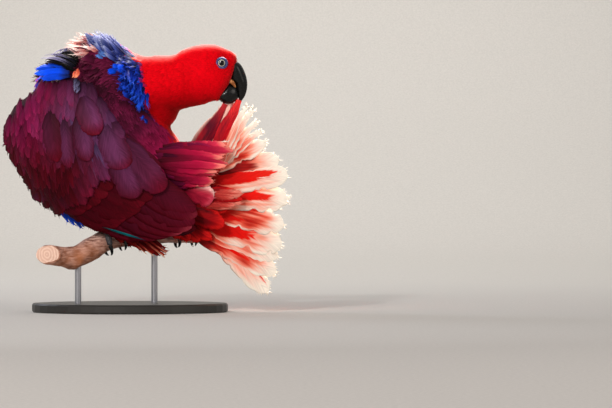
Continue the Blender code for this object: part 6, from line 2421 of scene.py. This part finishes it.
def grow_body_coats(skin: Skin, finish: bpy.types.Material, velvet: bpy.types.Material, kinds: dict,
                    tree: bpy.types.GeometryNodeTree) -> None:
    """Divides the skin into regions and grows each one's coat.

    Args:
        skin: The skin.
        finish: The plumage material.
        velvet: The shorter, denser plumage of the head and neck.
        kinds: The small feathers' variants.
        tree: The tree that spreads them.
    """
    points = skin.points
    lie = MARKINGS.lie(points)
    mesh = skin.thing.data
    faces = [list(face.vertices) for face in mesh.polygons]
    middle = np.array([points[face].mean(0) for face in faces])
    region = MARKINGS.region(middle)
    eyes = [np.array(sum(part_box(f"eye_{side}"), Vector())) / 2 / MM for side in ("left", "right")]
    apart = np.min([np.linalg.norm(middle - eye, axis=1) for eye in eyes], axis=0)
    bill_edge = np.array([(206, 87), (210, 89.5), (212, 91.5), (215.5, 93.5), (218, 97), (220.5, 98.5), (228, 100.3),
                          (232, 102.2), (235.3, 102.6), (242, 104.8), (248, 107.2), (253, 110)])
    open_skin = (apart > 6.5) & (middle[:, 0] < np.interp(middle[:, 2], *bill_edge.T))
    face_size = 0.62 + 0.38 * ease(18, 2, points[:, 0] - 80)
    eye_gap = np.min([np.linalg.norm(points - eye, axis=1) for eye in eyes], axis=0)
    face_size = face_size * (0.6 + 0.4 * ease(7, 16, eye_gap))
    ones, none = np.ones(len(points)), np.zeros(len(points))
    ruffled = 16 * ease(238, 262, points[:, 2]) * ease(-10, -30, points[:, 0])
    nape = ease(246, 258, points[:, 2]) * ease(22, 8, points[:, 0])
    plans = (
        (Region.FACE, Coat("coat_face", Build.TUFT, 5.4, 0.95, 9, 6, 2, 0.85, "red_feather"), face_size, none),
        (Region.CROWN, Coat("coat_crown", Build.TUFT, 6.6, 1.25, 8, 6, 3, 0.85, "red_feather"), ones, none),
        (Region.HOOD, Coat("coat_hood", Build.TUFT, 8.6, 1.75, 7, 7, 4, 0.85, "red_feather"), ones + 0.6 * nape,
         11 * nape),
        (Region.BAND, Coat("coat_band", Build.SCALE, 10.0, 2.9, 9, 8, 5, 0.45, "wine_feather"), ones + 0.4 * nape,
         14 * nape),
        (Region.MANTLE, Coat("coat_mantle", Build.CONTOUR, 15.0, 2.7, 5, 6, 6, 0.75, "wine_feather"), ones, ruffled),
        (Region.BELLY, Coat("coat_belly", Build.CONTOUR, 13.0, 3.2, 7, 8, 7, 0.5, "wine_feather"), ones, none),
        (Region.RUMP, Coat("coat_rump", Build.CONTOUR, 15.0, 3.0, 7, 8, 8, 0.5, "wine_feather"), ones, none),
        (Region.THIGH, Coat("coat_thigh", Build.CONTOUR, 9.5, 2.4, 7, 9, 9, 0.5, "wine_feather"), ones, none),
    )
    for where, coat, size, lift in plans:
        chosen = [faces[k] for k in np.flatnonzero((region == where) & open_skin)]
        worn = velvet if coat.slot == "red_feather" else finish
        thing = coat.grow(points, chosen, lie, size, lift, worn, kinds, tree, MARKINGS.tint, unwrap)
        if thing is not None:
            settle(thing, worn, coat.slot)


def main() -> None:
    """Builds every piece, in order, and reports it."""
    logging.basicConfig(level=logging.INFO, format="%(message)s", stream=sys.stdout)
    plumage = Plumage("plumage_soft", roughness=0.65, sheen=0.03, streak=0.24, specular=0.05).make()
    velvet = Plumage("plumage_velvet", roughness=0.7, sheen=0.3, sheen_tint="#FFE8D8", streak=0.14, specular=0.03).make()
    flight = Plumage("plumage_flight", roughness=0.55, sheen=0.01, streak=0.5, barb=2.2, specular=0.05,
                     slope=1.8).make()
    tail_vane = Plumage("plumage_tail", roughness=0.55, sheen=0.03, streak=0.24, barb=3.2, specular=0.06,
                        vein=Tail.vein, slope=2.6).make()
    horn = Keratin("black_horn", "#030403", "#0C0C0B").make()
    gape = Keratin("yellow_gape_horn", "#8A4A20", "#E0A060", 0.4).make()
    hide = ScaledSkin("grey_scute_skin", "#121012", "#4A464A", 1.3).make()
    bare = ScaledSkin("blue_grey_lid_skin", "#0E1640", "#5C6AAE", 0.8, 0.7).make()
    bark = Bark("worn_branch_bark", "#5A342C", "#D8AC9C", "#AC6438").make()
    sawn = SawnWood().make()
    skin = Skin()
    settle(skin.build(), plumage, "red_feather", "head", "neck", "torso", "rump", "thigh_left", "thigh_right")
    kinds = {build: SmallFeathers(build, seed=3 + k).gather() for k, build in enumerate(Build)}
    tree = coat_tree()
    grow_body_coats(skin, plumage, velvet, kinds, tree)
    left = Wing("left", (-30, -50, 172), (0.82, 0.0, -0.57), (0, -1, 0), 21)
    right = Wing("right", (-20, 71, 181), (0.80, -0.02, -0.54), (0.10, 0.99, 0), 22)
    for wing in (left, right):
        wing.build(flight)
    tail = Tail()
    tail.build(tail_vane, flight)
    loose = LoosePlumes(skin)
    settle(loose.ruff(), plumage, "wine_feather")
    settle(loose.nape(), plumage, "wine_feather")
    settle(loose.cobalt(left), plumage, "wine_feather")
    settle(loose.tail_coverts(tail), plumage, "wine_feather")
    settle(loose.flank(tail), plumage, "wine_feather")
    Bill().build(horn, gape)
    cornea = Cornea().make()
    for side in ("left", "right"):
        Eye(side, skin).build(cornea, bare)
    perch = Perch()
    perch.build(bark, sawn)
    for side in LEGS:
        Foot(side, perch).build(hide, horn)
    steel = Made("brushed_steel", "#B4B4B8", 0.28, 1.0, 0.5).make()
    paint = Made("satin_painted_board", "#26231F", 0.4, 0.0, 0.8).make()
    for node in ("stand_rod_1", "stand_rod_2", "stand_base"):
        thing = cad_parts[node]
        thing.data.materials.clear()
        thing.data.materials.append(steel if "rod" in node else paint)
    Studio().build(Made("matt_floor", "#CCC8C2", 0.8, 0.0, 3.0, 0.00002).make())


if __name__ == "__main__":
    main()
